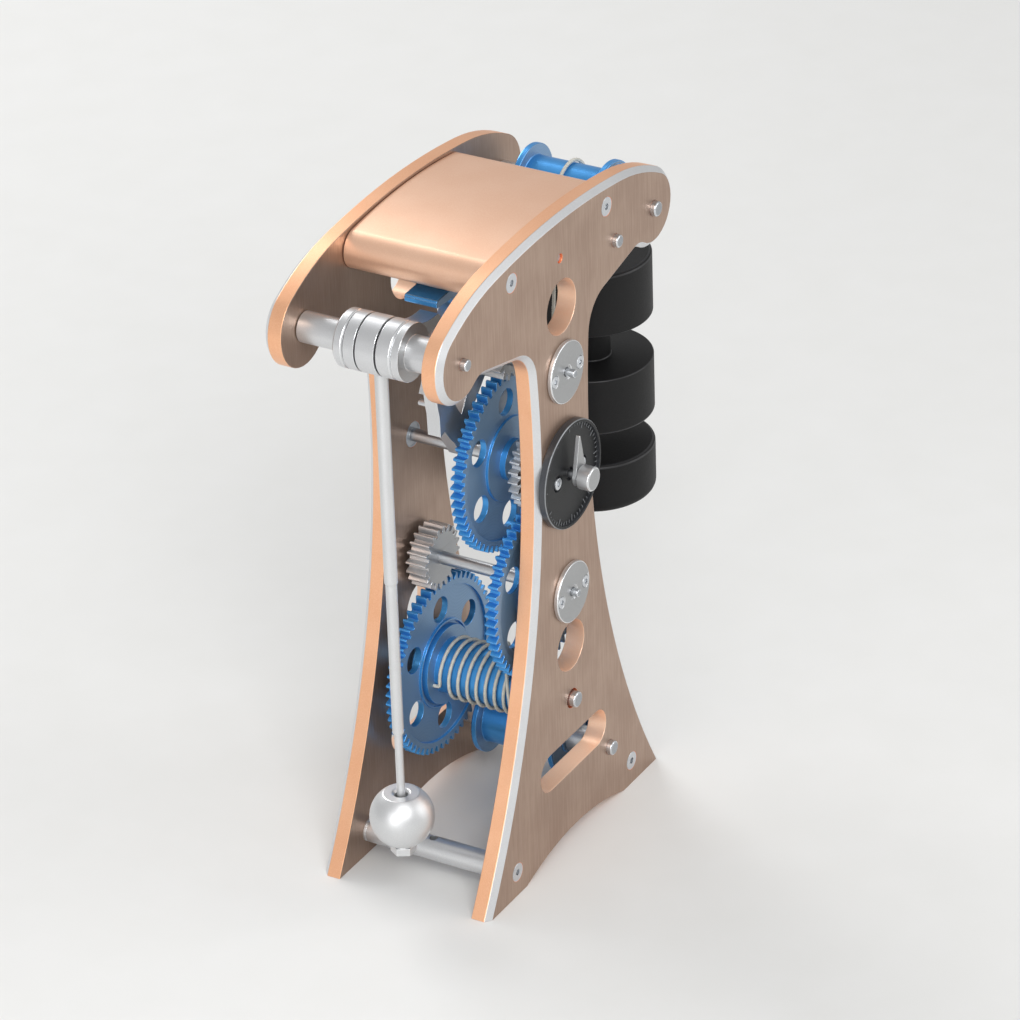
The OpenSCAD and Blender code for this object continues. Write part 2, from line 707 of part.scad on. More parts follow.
// Bore with a flat that fits the flat of an arbor
module flatted_bore(r, len) {
    difference() {
        translate([0, 0, -cut]) cylinder(r = r + seat_fit, h = len + 2 * cut);
        translate([r - 0.65 + seat_fit, -r - cut, -2 * cut]) cube([2 * r, 2 * r + 2 * cut, len + 4 * cut]);
    }
}

// Toothed wheel with a recessed web on both faces, six round holes and a raised disc
module wheel_body(t, shift, disc_r, boss_h) {
    difference() {
        union() {
            linear_extrude(t) polygon(gear_outline(wheel_teeth, shift));
            if (boss_h > 0) translate([0, 0, t - cut]) cylinder(r = wheel_boss_r, h = boss_h + cut);
        }
        for (z = [-cut, t - wheel_recess]) translate([0, 0, z])
            ring(wheel_rim_r, disc_r, wheel_recess + cut);
        for (i = [0:5]) rotate(90 + 60 * i) translate([wheel_hole_at, 0, -cut])
            cylinder(r = wheel_hole_r, h = t + 2 * cut);
    }
}

module drum_wheel() {
    color(anodised_blue) at(0, drum_z, drum_wheel_depth) difference() {
        union() {
            wheel_body(wheel_t, 0, drum_pocket_r + 0.9, 0);
            translate([0, 0, end_play - drum_wheel_depth])
                cylinder(r = drum_arbor_r + 3, h = drum_wheel_depth);
        }
        translate([0, 0, wheel_t - wheel_recess]) cylinder(r = drum_pocket_r, h = wheel_recess + cut);
        translate([0, 0, -drum_wheel_depth]) cylinder(r = drum_arbor_r + seat_fit, h = plate_gap);
    }
}

module drum() {
    len = drum_front - drum_back;
    color(anodised_blue) at(0, drum_z, drum_back) difference() {
        union() {
            turned([[drum_flange_r, 0, drum_flange_t], [barrel_r, drum_flange_t, len - drum_flange_t],
                [drum_flange_r, len - drum_flange_t, len]], 0.3);
        }
        translate([0, 0, -cut]) cylinder(r = drum_arbor_r + seat_fit, h = len + 2 * cut);
        for (s = [-1, 1]) translate([0, s * barrel_r * 0.7, len - 6]) cylinder(r = 3.2, h = 6 + cut);
    }
}

module drum_arbor() {
    color(steel) at(0, drum_z, 0) turned([[drum_arbor_r, -plate_t + 0.3, front_out + 3.4]], 0.5);
}

module drum_bushing() {
    len = front_in - end_play - drum_front;
    color(pale_steel) at(0, drum_z, drum_front) difference() {
        turned([[2 * drum_arbor_r, 0, len]], 0.3);
        translate([0, 0, -cut]) cylinder(r = drum_arbor_r + seat_fit, h = len + 2 * cut);
        translate([0, 0, 3]) cylinder(r = 1.5 * drum_arbor_r, h = len);
    }
}

// A tube swept along points. Each ring is set out on a given normal and on the
// cross product of the path with it. The ring at slant_at lies square to slant.
module swept(points, normals, r, sides, slant_at = -1, slant = [0, 0, 1]) {
    n = len(points);
    turn = [for (i = [0:n - 1]) let (t = unit(points[min(i + 1, n - 1)] - points[max(i - 1, 0)]),
        across = unit(cross(t, normals[i])), up = cross(across, t))
        each [for (k = [0:sides - 1]) let (o = r * (cos(360 * k / sides) * up
            + sin(360 * k / sides) * across))
            points[i] + (i == slant_at ? o - t * (o * slant) / (t * slant) : o)]];
    walls = [for (i = [0:n - 2], k = [0:sides - 1]) let (a = i * sides + k,
        b = i * sides + (k + 1) % sides)
        each [[a, a + sides, b], [b, a + sides, b + sides]]];
    polyhedron(turn, concat([[for (k = [0:sides - 1]) k]], walls,
        [[for (k = [sides - 1:-1:0]) (n - 1) * sides + k]]));
}

// Direction across the line where it runs between two loops that turn opposite ways
function across_line(from, to, sum_r) =
    direction(to - from) + acos(sum_r / norm(to - from));
drum_at = [0, drum_z];
lower_at = [lower_pulley_x, lower_pulley_z];
upper_at = [arm_x, arm_z];
leave_turn = across_line(drum_at, lower_at, second_layer_r + loop_r);
rise_turn = direction(upper_at - lower_at)
    - acos(2 * loop_r / norm(upper_at - lower_at));

// Line on the drum: it starts square to the rear flange, lies in even turns, climbs
// at the front flange and crosses back over the top to the middle, where it leaves
stub = line_d;
bend_r = 1.7;
coil_start = barrel_back + stub + bend_r;
coil_end = barrel_front - line_r - 0.3;
start_turn = 190;
climb = 60;
cross_over = start_turn - leave_turn;
coil_travel = 360 * line_turns;
function coil_r(u) = mix(first_layer_r, second_layer_r,
    ease(min(1, max(0, (u - coil_travel + climb) / climb))));
function coil_depth(u) = u <= coil_travel
    ? mix(coil_start, coil_end, u / coil_travel)
    : mix(coil_end, line_depth, ease((u - coil_travel) / cross_over));
function on_drum(r, turn, depth) = [r * cos(turn), r * sin(turn), depth];
lead_turn = first_layer_r * PI / 180;
coil_rings = rings_per_turn * line_turns;
cross_rings = 14;
winding = concat(
    [on_drum(first_layer_r, start_turn + bend_r / lead_turn, barrel_back),
        on_drum(first_layer_r, start_turn + bend_r / lead_turn, barrel_back + stub)],
    [for (i = [1:2]) let (b = 30 * i) on_drum(first_layer_r,
        start_turn + bend_r * cos(b) / lead_turn, barrel_back + stub + bend_r * sin(b))],
    [for (i = [0:coil_rings]) let (u = coil_travel * i / coil_rings)
        on_drum(coil_r(u), start_turn - u, coil_depth(u))],
    [for (i = [1:cross_rings]) let (u = coil_travel + cross_over * i / cross_rings)
        on_drum(coil_r(u), start_turn - u, coil_depth(u))],
    [for (run = [line_d, lead_off]) let (p = off_drum(run)) [p[0], p[1], line_depth]]);

// Least distance between stretches of the line that aren't next to each other
coil_gap = min([for (i = [0:2:len(winding) - 8], j = [i + 6:1:min(len(winding) - 1, i + 220)])
    norm(winding[i] - winding[j])]) - line_d;
echo("least gap of the winding to itself, mm", coil_gap);

// The line parts lie square to the radius from the drum where the turning stretch
// meets the fixed one, so the first never swings into the second.
lead_gap = 2 * end_play;
function off_drum(run) = polar(second_layer_r, leave_turn) + polar(run, leave_turn - 90);
function on_radius(p) = unit([p[0], p[1], 0]);

module line_winding() {
    normals = [for (p = winding) [p[0], p[1], 0]];
    last = len(winding) - 1;
    color(line_grey) at(0, drum_z, 0)
        swept(winding, normals, line_r, 6, last, on_radius(winding[last]));
}

// Line from the drum round the lower pulley and over the upper one
module line_run() {
    loop_steps = 16;
    start = off_drum(lead_off + lead_gap);
    route = concat([drum_at + start],
        arc(lower_at, loop_r, leave_turn + 180, 360 + rise_turn, loop_steps),
        arc(upper_at, loop_r, rise_turn + 180, 0, loop_steps), [[weight_x, drop_top]]);
    flat = [for (p = route) [p[0], p[1], line_depth]];
    color(line_grey) at(0, 0, 0)
        swept(flat, [for (p = flat) [0, 0, 1]], line_r, 8, 0, on_radius(start));
}

eye_h = 9;
eye_top = weight_top_z + eye_h;
drop_top = arm_z - line_d;
module line_drop() {
    color(line_grey) translate([weight_x - mid_x, mid_depth - line_depth, eye_top])
        cylinder(r = line_r, h = drop_top - eye_top, $fn = 24);
}

module third_arbor() { color(steel) at(0, third_z, 0) train_arbor(arbor_r, journal_tip); }

module third_pinion() {
    color(pale_steel) at(0, third_z, third_pinion_depth) difference() {
        linear_extrude(third_pinion_len) rotate(180 / third_pinion_teeth - 90)
            polygon(gear_outline(third_pinion_teeth));
        translate([0, 0, -cut]) cylinder(r = arbor_r + seat_fit, h = third_pinion_len + 2 * cut);
    }
}

module third_wheel() {
    color(anodised_blue) at(0, third_z, front_gear_back) difference() {
        wheel_body(front_gear_t, 0, wheel_disc_r, wheel_boss_h);
        flatted_bore(arbor_r, front_gear_t + wheel_boss_h);
    }
}

module flat_washer(z, r) {
    at(0, z, washer_back) ring(r, arbor_r + 0.55, washer_t);
}
module third_washer() { color(pale_steel) flat_washer(third_z, 9.2); }
module centre_washer() { color(pale_steel) flat_washer(centre_z, 10.1); }

// The centre arbor runs on through its bearing to carry the pointer
pointer_depth = front_out + 6;
module centre_arbor() {
    color(steel) at(0, centre_z, 0) union() {
        train_arbor(arbor_r, pointer_depth);
        translate([0, 0, pointer_depth - cut]) cylinder(r = 1.5, h = nut_front - 1 - pointer_depth + cut);
    }
}

module centre_wheel() {
    color(anodised_blue) at(0, centre_z, centre_wheel_depth) difference() {
        wheel_body(wheel_t, -pinion_shift, wheel_disc_r, wheel_boss_h);
        translate([0, 0, -cut]) cylinder(r = arbor_r + seat_fit, h = wheel_t + wheel_boss_h + 2 * cut);
    }
}

module centre_pinion() {
    boss_w = 14.5;
    color(pale_steel) at(0, centre_z, front_gear_back) difference() {
        union() {
            linear_extrude(front_gear_t) rotate(180 / centre_pinion_teeth - 90)
                polygon(gear_outline(centre_pinion_teeth));
            translate([-boss_w / 2, -boss_w / 2, front_gear_t - cut])
                cube([boss_w, boss_w, wheel_boss_h + cut]);
        }
        flatted_bore(arbor_r, front_gear_t + wheel_boss_h);
    }
}

// Teardrop pointer, standing upright from its eye
module pointer() {
    eye_r = 5;
    tip_r = 0.6;
    side = acos((eye_r - tip_r) / (pointer_len - tip_r));
    color(pale_steel) at(0, centre_z, pointer_depth) difference() {
        linear_extrude(2) polygon(concat(
            arc([0, 0], eye_r, 90 + side, 450 - side, 30),
            arc([0, pointer_len - tip_r], tip_r, 90 - side, 90 + side, 6)));
        translate([0, 0, -cut]) cylinder(r = 1.5 + seat_fit, h = 4);
        translate([0, 0, 1.4]) cylinder(r = 3.2, h = cut);
    }
}

module pointer_nut() {
    start = pointer_depth + 2;
    color(pale_steel) at(0, centre_z, start) difference() {
        turned([[pointer_nut_d / 2, 0, nut_front - start]], 0.6);
        translate([0, 0, -cut]) cylinder(r = 1.5 + seat_fit, h = nut_front - start);
    }
}

module escape_arbor() { color(steel) at(0, escape_z, 0) train_arbor(arbor_r, journal_tip + 1.2); }

module escape_pinion() {
    color(pale_steel) at(0, escape_z, escape_front) difference() {
        linear_extrude(escape_pinion_len) rotate(180 / escape_pinion_teeth - 90)
            polygon(gear_outline(escape_pinion_teeth, pinion_shift));
        translate([0, 0, -cut]) cylinder(r = arbor_r + seat_fit, h = escape_pinion_len + 2 * cut);
    }
}

// Escape wheel: a wide ring with ratchet teeth, on three tapered spokes
escape_pitch = 360 / escape_teeth;
module escape_wheel() {
    spoke_turn = 110;
    hub = 10;
    outline = [for (k = [0:escape_teeth - 1]) let (a = k * escape_pitch)
        each concat([polar(escape_tip_r, a), polar(escape_root_r, a + 1.2)],
            arc([0, 0], escape_root_r, a + 4, a + escape_pitch - 13, 2))];
    color(pale_steel) at(0, escape_z, escape_depth) difference() {
        linear_extrude(escape_t) {
            difference() {
                polygon(outline);
                circle(r = escape_ring_r);
            }
            circle(r = hub);
            for (i = [0:2]) rotate(spoke_turn + 120 * i)
                polygon([[hub / 2, -7], [escape_ring_r + 2, -4], [escape_ring_r + 2, 4], [hub / 2, 7]]);
        }
        translate([0, 0, -cut]) cylinder(r = arbor_r + seat_fit, h = escape_t + 2 * cut);
        for (k = [0:escape_teeth - 1]) rotate((k + 0.5) * escape_pitch)
            translate([pin_circle_r, 0, -cut]) cylinder(r = pin_r + seat_fit, h = escape_t - 2 + cut);
    }
}

module escape_pins() {
    color(steel) at(0, escape_z, escape_depth - pin_len)
        for (k = [0:escape_teeth - 1]) rotate((k + 0.5) * escape_pitch)
            translate([pin_circle_r, 0, 0]) cylinder(r = pin_r, h = pin_len + escape_t - 2);
}

// Detent: a broad hook over the escape wheel, from its boss to a nose and a tail.
// Its outline is set out from the escape arbor.
module detent() {
    inner_r = escape_tip_r + 1.8;
    nose_r = escape_tip_r + end_play;
    far = 128;
    near = 46;
    steps = 18;
    boss_at = [detent_x, detent_z - escape_z];
    boss_reach = norm(boss_at);
    outer = [for (i = [0:steps]) polar(mix(inner_r + 12.4, inner_r + 5.6, i / steps),
        mix(near + 5, far - 4, i / steps))];
    tail_low = release_tip_z - escape_z;
    tail = [[-34, tail_low + 4.6], [-49, tail_low + 4], [-50, tail_low + 3], [-50, tail_low + 0.6],
        [-49, tail_low], [-36.5, tail_low - 0.6]];
    inner = concat([polar(inner_r, far), polar(nose_r, far - 2.6), polar(inner_r, far - 8)],
        arc([0, 0], inner_r, far - 12, near, steps));
    color(anodised_blue) at(0, escape_z, detent_back) difference() {
        union() {
            linear_extrude(detent_w) polygon(concat(outer, tail, inner,
                [polar(boss_reach - detent_boss_r * 0.9, direction(boss_at) - 5), boss_at,
                    polar(boss_reach, direction(boss_at) + detent_boss_r * 0.8)]));
            translate([detent_x, boss_at[1], 0]) cylinder(r = detent_boss_r, h = detent_w);
        }
        translate([detent_x, boss_at[1], -cut])
            cylinder(r = detent_arbor_r + running_fit, h = detent_w + 2 * cut);
    }
}

module detent_arbor() {
    color(steel) at(detent_x, detent_z, 0)
        turned([[detent_arbor_r, -plate_t + 0.3, front_out + 2.8]], 0.5);
}
washer_len = 0.8;
module detent_sleeve() {
    color(pale_steel) at(detent_x, detent_z, 0) ring(4.5, detent_arbor_r + seat_fit, detent_back - end_play);
}
module detent_washer() {
    color(brass_ring) at(detent_x, detent_z, detent_front + end_play)
        ring(6.4, detent_arbor_r + seat_fit, washer_len);
}
module detent_spacer() {
    start = detent_front + end_play + washer_len;
    color(spacer_beige) at(detent_x, detent_z, start) difference() {
        turned([[6, 0, front_in - start]], 0.4);
        translate([0, 0, -cut]) cylinder(r = detent_arbor_r + seat_fit, h = plate_gap);
    }
}

// Rings of the pendulum hub, back to front, with narrow grooves between them
hub_core_r = 8;
groove = 0.5;
impulse_start = escape_depth - pin_len;
impulse_t = pin_len - end_play;
release_start = impulse_start + impulse_t + 0.8;
release_t = 9.8;
hub_core_end = release_start + release_t;
impulse_reach = arbor_reach - pin_circle_r - pin_r - 0.4;
release_turn = -8;
release_reach = 46;
release_half = 3;
// Highest point of the release arm's tip when the pendulum swings, with a gap
release_tip_z = arm_z + release_reach * sin(release_turn + swing) + release_half + 0.5;

module pendulum_arbor() {
    color(steel) at(-arm_x, arm_z, 0) turned([[pivot_r, -plate_t + 0.3, end_play],
        [arbor_r, end_play, front_in - end_play], [pivot_r, front_in - end_play, front_out + 3]], 0.4);
}

module pendulum_hub() {
    back_len = impulse_start - groove - hub_depth;
    color(pale_steel) at(-arm_x, arm_z, 0) difference() {
        union() {
            translate([0, 0, end_play]) cylinder(r = hub_tube_r, h = hub_depth);
            translate([0, 0, hub_depth]) turned([[hub_r, 0, back_len]], 0.8);
            translate([0, 0, hub_depth + 1]) cylinder(r = hub_core_r, h = hub_core_end - hub_depth - 1);
        }
        cylinder(r = arbor_r + seat_fit, h = plate_gap);
        rod_socket();
    }
}

// Radial hole for the threaded end of the rod
thread_r = 3;
thread_len = 8.2;
module rod_socket() {
    translate([0, 0, rod_depth]) rotate([90, 0, 0]) translate([0, 0, hub_r - thread_len - 0.3])
        cylinder(r = thread_r + seat_fit, h = thread_len + 2);
}

// Blade that tapers from its ring to a round tip
module arm_blade(reach, root_half, tip_half, bend, t) {
    steps = 12;
    last = reach - tip_half;
    upper = [for (i = [0:steps]) let (s = i / steps) [mix(hub_core_r + 3, last, s),
        bend * s * (1 - s) * 4 + mix(tip_half, root_half, pow(1 - s, 1.7))]];
    lower = [for (i = [steps:-1:0]) let (s = i / steps) [mix(hub_core_r + 3, last, s),
        bend * s * (1 - s) * 4 - mix(tip_half, root_half, pow(1 - s, 1.7))]];
    linear_extrude(t) polygon(concat(upper, arc([last, 0], tip_half, 75, -75, 6), lower));
}

module impulse_arm() {
    color(pale_steel) at(-arm_x, arm_z, impulse_start) difference() {
        union() {
            cylinder(r = hub_r, h = impulse_t);
            rotate(arbor_slope) arm_blade(impulse_reach, 9, 2.6, 3, impulse_t);
        }
        translate([0, 0, -cut]) cylinder(r = hub_core_r + seat_fit, h = impulse_t + 2 * cut);
    }
}

module release_arm() {
    color(pale_steel) at(-arm_x, arm_z, release_start) difference() {
        union() {
            rotate(30) cylinder(r = hub_r, h = release_t);
            rotate(release_turn) arm_blade(release_reach, 10, release_half, -2, release_t);
        }
        translate([0, 0, -cut]) cylinder(r = hub_core_r + seat_fit, h = release_t + 2 * cut);
        translate([0, 0, -release_start]) rod_socket();
    }
}

// Front ring of the hub, open between three spokes
module hub_front_ring() {
    len = hub_front_depth - hub_core_end - groove;
    color(pale_steel) at(-arm_x, arm_z, hub_core_end + groove) difference() {
        union() {
            turned([[hub_r, 0, len]], 0.8);
            translate([0, 0, -groove]) cylinder(r = hub_core_r, h = 2 * groove);
        }
        translate([0, 0, len - 1.2]) cylinder(r = hub_r - 2.4, h = 1.2 + cut);
        for (i = [0:3]) rotate(45 + 90 * i) translate([8, 0, 2.5]) cylinder(r = 2.6, h = len);
        translate([0, 0, -plate_gap / 2]) cylinder(r = arbor_r + seat_fit, h = plate_gap);
    }
}

module hub_bush() {
    flange_t = 4.2;
    start = hub_front_depth;
    len = front_in - end_play - start;
    color(pale_steel) at(-arm_x, arm_z, start) difference() {
        turned([[hub_r, 0, flange_t], [8.5, flange_t, len]], 0.7);
        translate([0, 0, -cut]) cylinder(r = arbor_r + seat_fit, h = len + 2 * cut);
        translate([0, 0, len - 3]) cylinder(r = 4.5, h = 3 + cut);
    }
}

// Turned rod in three steps, hanging along -Z from the hub
rod_upper_r = 3.2;
rod_middle_r = 2.75;
rod_lower_r = 2;
rod_top_z = arm_z - hub_r;
bob_z = arm_z - bob_drop;
bob_flat = bob_r - 1;
nut_low_z = bob_z - bob_flat - rating_nut_t;
module on_rod(z) {
    translate([-arm_x - mid_x, mid_depth - rod_depth, z]) children();
}
module pendulum_rod() {
    steps = [[rod_lower_r, nut_low_z - 1, rod_top_z - rod_upper_len - rod_middle_len],
        [rod_middle_r, rod_top_z - rod_upper_len - rod_middle_len, rod_top_z - rod_upper_len],
        [rod_upper_r, rod_top_z - rod_upper_len, rod_top_z],
        [thread_r, rod_top_z, rod_top_z + thread_len]];
    color(pale_steel) on_rod(0) turned(steps, 0.5);
}

module pendulum_bob() {
    socket_r = 4.45;
    color(pale_steel) on_rod(bob_z) difference() {
        intersection() {
            sphere(r = bob_r, $fn = 96);
            translate([0, 0, -bob_flat]) cylinder(r = bob_r + cut, h = 2 * bob_flat);
        }
        translate([0, 0, -bob_r]) cylinder(r = rod_lower_r + seat_fit, h = 2 * bob_r);
        translate([0, 0, bob_flat - 3]) cylinder(r = socket_r, h = 3 + cut);
    }
}

module rating_nut() {
    color(pale_steel) on_rod(nut_low_z) difference() {
        union() {
            cylinder(d = rating_nut_af / cos(30), h = rating_nut_t - 1, $fn = 6);
            cylinder(r = rating_nut_af / 2 - 0.4, h = rating_nut_t);
        }
        translate([0, 0, -cut]) cylinder(r = rod_lower_r + seat_fit, h = rating_nut_t + 2 * cut);
    }
}

// Pulley with a flange at each end
module pulley(at_xz) {
    color(anodised_blue) at(at_xz[0], at_xz[1], pulley_depth) difference() {
        turned([[pulley_flange_r, 0, pulley_flange_t],
            [pulley_core_r, pulley_flange_t, pulley_len - pulley_flange_t],
            [pulley_flange_r, pulley_len - pulley_flange_t, pulley_len]], 0.4);
        translate([0, 0, -cut]) cylinder(r = axle_r + running_fit, h = pulley_len + 2 * cut);
        translate([0, 0, pulley_len - 0.8]) ring(pulley_flange_r - 1.8, collar_r + 1, cut);
    }
}
module upper_pulley() { pulley(upper_at); }
module lower_pulley() { pulley(lower_at); }

// Fixed axle, thinner where it sits in the plates
module axle(at_xz) {
    color(steel) at(at_xz[0], at_xz[1], 0) turned([[axle_end_r, -plate_t + 0.3, 0],
        [axle_r, 0, plate_gap], [axle_end_r, plate_gap, front_out + 2.8]], 0.5);
}
module upper_axle() { axle(upper_at); }
module lower_axle() { axle(lower_at); }

module pulley_collars() {
    rear_len = pulley_depth - end_play;
    front_start = pulley_depth + pulley_len + end_play;
    color(pale_steel) for (p = [upper_at, lower_at]) {
        at(p[0], p[1], 0) ring(collar_r, axle_r + seat_fit, rear_len);
        at(p[0], p[1], front_start) difference() {
            turned([[collar_r, 0, front_in - front_start]], 0.6);
            translate([0, 0, -cut]) cylinder(r = axle_r + seat_fit, h = plate_gap);
        }
    }
}

module on_weight(z) {
    translate([weight_x - mid_x, mid_depth - line_depth, z]) children();
}
weight_upper_z = weight_top_z - weight_upper_h;
weight_middle_z = weight_upper_z - weight_neck_h;
weight_low_z = weight_middle_z - weight_middle_h;
weight_lower_top_z = weight_low_z - weight_rod_h;
weight_bottom_z = weight_lower_top_z - weight_lower_h;

// Upper and middle discs of the weight, turned in one piece with the neck
module weight_upper() {
    color(near_black) on_weight(0) difference() {
        turned([[weight_r, weight_low_z, weight_middle_z], [weight_neck_r, weight_middle_z, weight_upper_z],
            [weight_r, weight_upper_z, weight_top_z]], 1.2);
        translate([0, 0, weight_low_z - cut])
            cylinder(r = weight_rod_r + seat_fit, h = weight_top_z - weight_low_z + 2 * cut);
    }
}

module weight_lower() {
    corner = 4;
    inset = weight_r - corner;
    color(near_black) on_weight(0) difference() {
        rotate_extrude() polygon(concat([[0, weight_bottom_z]],
            arc([inset, weight_bottom_z + corner], corner, -90, 0, 6),
            [[weight_r, weight_lower_top_z - 1.2], [weight_r - 1.2, weight_lower_top_z],
                [0, weight_lower_top_z]]));
        translate([0, 0, weight_bottom_z + 5]) cylinder(r = weight_rod_r + seat_fit, h = weight_lower_h);
    }
}

module weight_rod() {
    eye_r = 4;
    color(near_black) on_weight(0) difference() {
        union() {
            translate([0, 0, weight_bottom_z + 6])
                cylinder(r = weight_rod_r, h = weight_top_z - weight_bottom_z - 6 + cut);
            translate([0, 0, weight_top_z]) turned([[eye_r, 0, eye_h]], 1);
        }
        translate([0, -weight_r, weight_top_z + eye_h / 2]) rotate([-90, 0, 0])
            cylinder(r = 1.6, h = 2 * weight_r);
    }
}

back_plate();
front_plate();
pillar_top_left();
pillar_top_right();
pillar_foot_left();
pillar_foot_right();
centre_studs();
top_cover();
pillar_screws_front();
pillar_screws_back();
arbor_bearings_front();
arbor_bearings_back();
bearing_caps();
face_screws();
dial();
drum_bearings();
detent_arbor();
detent_sleeve();
detent_washer();
detent_spacer();
upper_axle();
lower_axle();
pulley_collars();
line_run();
line_drop();
drum_arbor();
drum();
drum_wheel();
drum_bushing();
line_winding();
third_arbor();
third_pinion();
third_wheel();
third_washer();
centre_arbor();
centre_wheel();
centre_pinion();
centre_washer();
pointer();
pointer_nut();
escape_arbor();
escape_pinion();
escape_wheel();
escape_pins();
detent();
pendulum_arbor();
pendulum_hub();
impulse_arm();
release_arm();
hub_front_ring();
hub_bush();
pendulum_rod();
pendulum_bob();
rating_nut();
upper_pulley();
lower_pulley();
weight_upper();
weight_lower();
weight_rod();
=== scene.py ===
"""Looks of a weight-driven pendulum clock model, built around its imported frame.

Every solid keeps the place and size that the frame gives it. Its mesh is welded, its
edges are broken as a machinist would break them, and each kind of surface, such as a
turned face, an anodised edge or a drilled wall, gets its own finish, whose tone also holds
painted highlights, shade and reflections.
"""

from __future__ import annotations

import json
import logging
import math
from dataclasses import dataclass, replace
from enum import Enum, IntEnum
from functools import partial
from typing import Callable, Iterable, Sequence

import bmesh
import bpy
from mathutils import Matrix, Vector

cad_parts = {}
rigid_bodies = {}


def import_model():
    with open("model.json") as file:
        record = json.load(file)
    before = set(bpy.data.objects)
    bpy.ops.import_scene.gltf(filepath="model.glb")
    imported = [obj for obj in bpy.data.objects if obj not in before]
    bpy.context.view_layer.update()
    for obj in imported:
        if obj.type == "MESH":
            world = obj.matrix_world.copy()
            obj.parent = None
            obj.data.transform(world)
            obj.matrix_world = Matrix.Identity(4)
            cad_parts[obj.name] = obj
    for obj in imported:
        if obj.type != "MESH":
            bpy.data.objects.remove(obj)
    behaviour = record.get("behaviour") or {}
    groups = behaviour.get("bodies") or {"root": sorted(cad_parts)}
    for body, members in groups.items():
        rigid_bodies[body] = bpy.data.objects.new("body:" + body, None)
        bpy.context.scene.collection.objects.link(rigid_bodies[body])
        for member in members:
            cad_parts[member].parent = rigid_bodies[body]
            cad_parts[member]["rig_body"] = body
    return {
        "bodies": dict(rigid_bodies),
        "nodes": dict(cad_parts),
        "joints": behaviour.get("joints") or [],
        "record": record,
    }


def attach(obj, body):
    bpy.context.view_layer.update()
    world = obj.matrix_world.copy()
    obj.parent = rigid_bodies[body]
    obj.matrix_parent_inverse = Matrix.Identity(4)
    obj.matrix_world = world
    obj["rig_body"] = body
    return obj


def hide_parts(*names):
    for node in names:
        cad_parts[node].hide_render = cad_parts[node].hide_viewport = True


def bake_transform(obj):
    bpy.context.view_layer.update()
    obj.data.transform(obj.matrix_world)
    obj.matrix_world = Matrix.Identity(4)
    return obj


LOG = logging.getLogger("clock_model")
MM = 0.001
# Middle of the clock in the source's own sizes, which the frame puts at its origin
MID_X = 13.05
MID_DEPTH = 44.6

Point = tuple[float, float, float]
Spot = tuple[float, float]
Rule = Callable[[Vector, Vector], int]

# Axes of the clock: distance from the plates' centre line and height over the table, in mm
DRUM: Spot = (0.0, 80.3)
THIRD: Spot = (0.0, 140.3)
CENTRE: Spot = (0.0, 204.8)
ESCAPE: Spot = (0.0, 258.8)
PENDULUM: Spot = (-89.6, 304.2)
DETENT: Spot = (51.9, 303.8)
UPPER_PULLEY: Spot = (89.6, 304.2)
LOWER_PULLEY: Spot = (35.2, 33.1)
STUDS: Spot = (0.0, 317.4)
PILLARS: dict[str, Spot] = {
    "pillar_top_left": (-44.4, 324.6),
    "pillar_top_right": (44.4, 324.6),
    "pillar_foot_left": (-56.9, 13.0),
    "pillar_foot_right": (56.9, 13.0),
}
# Depths of the plates' faces, in mm from the back plate's inner face towards the dial
BACK_OUTER = -10.0
BACK_INNER = 0.0
FRONT_INNER = 74.0
FRONT_OUTER = 84.0
# Share of a unit normal along an axis, over which a face lies square to that axis
SQUARE = 0.98
# Share over which a face that isn't square is a chamfer and no longer a wall
SLOPED = 0.3
# Points of a form this close, in metres, are one
SAME_POINT = 1e-7
# Patches of tone in a metre of surface, about 20 mm from one to the next
PATCHES_PER_M = 45.0
# How far roughness falls and rises about a surface's middle value, and its least value
SMOOTHER = 0.06
ROUGHER = 0.08
SMOOTHEST = 0.05
# Depth of a surface's relief as a share of its pitch
RELIEF_DEPTH = 0.2


def place(x: float, depth: float, z: float) -> Vector:
    """Turns a place on the clock into the frame's metres.

    Args:
        x: distance from the plates' centre line, in mm.
        depth: distance from the back plate's inner face towards the dial, in mm.
        z: height over the table, in mm.

    Returns:
        The same place in the frame.
    """
    return Vector(((x - MID_X) * MM, (MID_DEPTH - depth) * MM, z * MM))


def at(spot: Spot, depth: float = 0.0) -> Vector:
    """Point on one of the clock's axes in the frame's metres, at a depth in mm."""
    return place(spot[0], depth, spot[1])


def around_axis(axis: Spot, r: float, turn: float, depth: float) -> Vector:
    """Point at a radius and a direction round one of the clock's axes.

    Args:
        axis: the axis.
        r: radius, in mm.
        turn: direction from the axis, in degrees.
        depth: depth of the point, in mm.

    Returns:
        The point in the frame.
    """
    a = math.radians(turn)
    return place(axis[0] + r * math.cos(a), depth, axis[1] + r * math.sin(a))


def linear(hex_colour: str) -> tuple[float, float, float, float]:
    """Turns an sRGB hex colour into the linear values that a shader takes.

    Args:
        hex_colour: colour such as "#A0B0C0".

    Returns:
        Red, green and blue from 0 to 1, and an alpha of 1.
    """
    values = [int(hex_colour[i : i + 2], 16) / 255 for i in (1, 3, 5)]
    curve = [v / 12.92 if v <= 0.04045 else ((v + 0.055) / 1.055) ** 2.4 for v in values]
    return (curve[0], curve[1], curve[2], 1.0)


def add_node(
    tree: bpy.types.NodeTree,
    kind: str,
    inputs: dict[str | int, object] | None = None,
    settings: dict[str, object] | None = None,
) -> bpy.types.Node:
    """Adds a node with its settings, values and incoming links.

    Args:
        tree: node tree that gets the node.
        kind: Blender's name of the node type.
        inputs: socket name or number to a value, or to the output socket it is linked to.
        settings: attributes of the node to set first.

    Returns:
        The new node.
    """
    node = tree.nodes.new(kind)
    for name, value in (settings or {}).items():
        setattr(node, name, value)
    for socket, value in (inputs or {}).items():
        target = node.inputs[socket]
        if isinstance(value, bpy.types.NodeSocket):
            tree.links.new(value, target)
        else:
            target.default_value = value
    return node


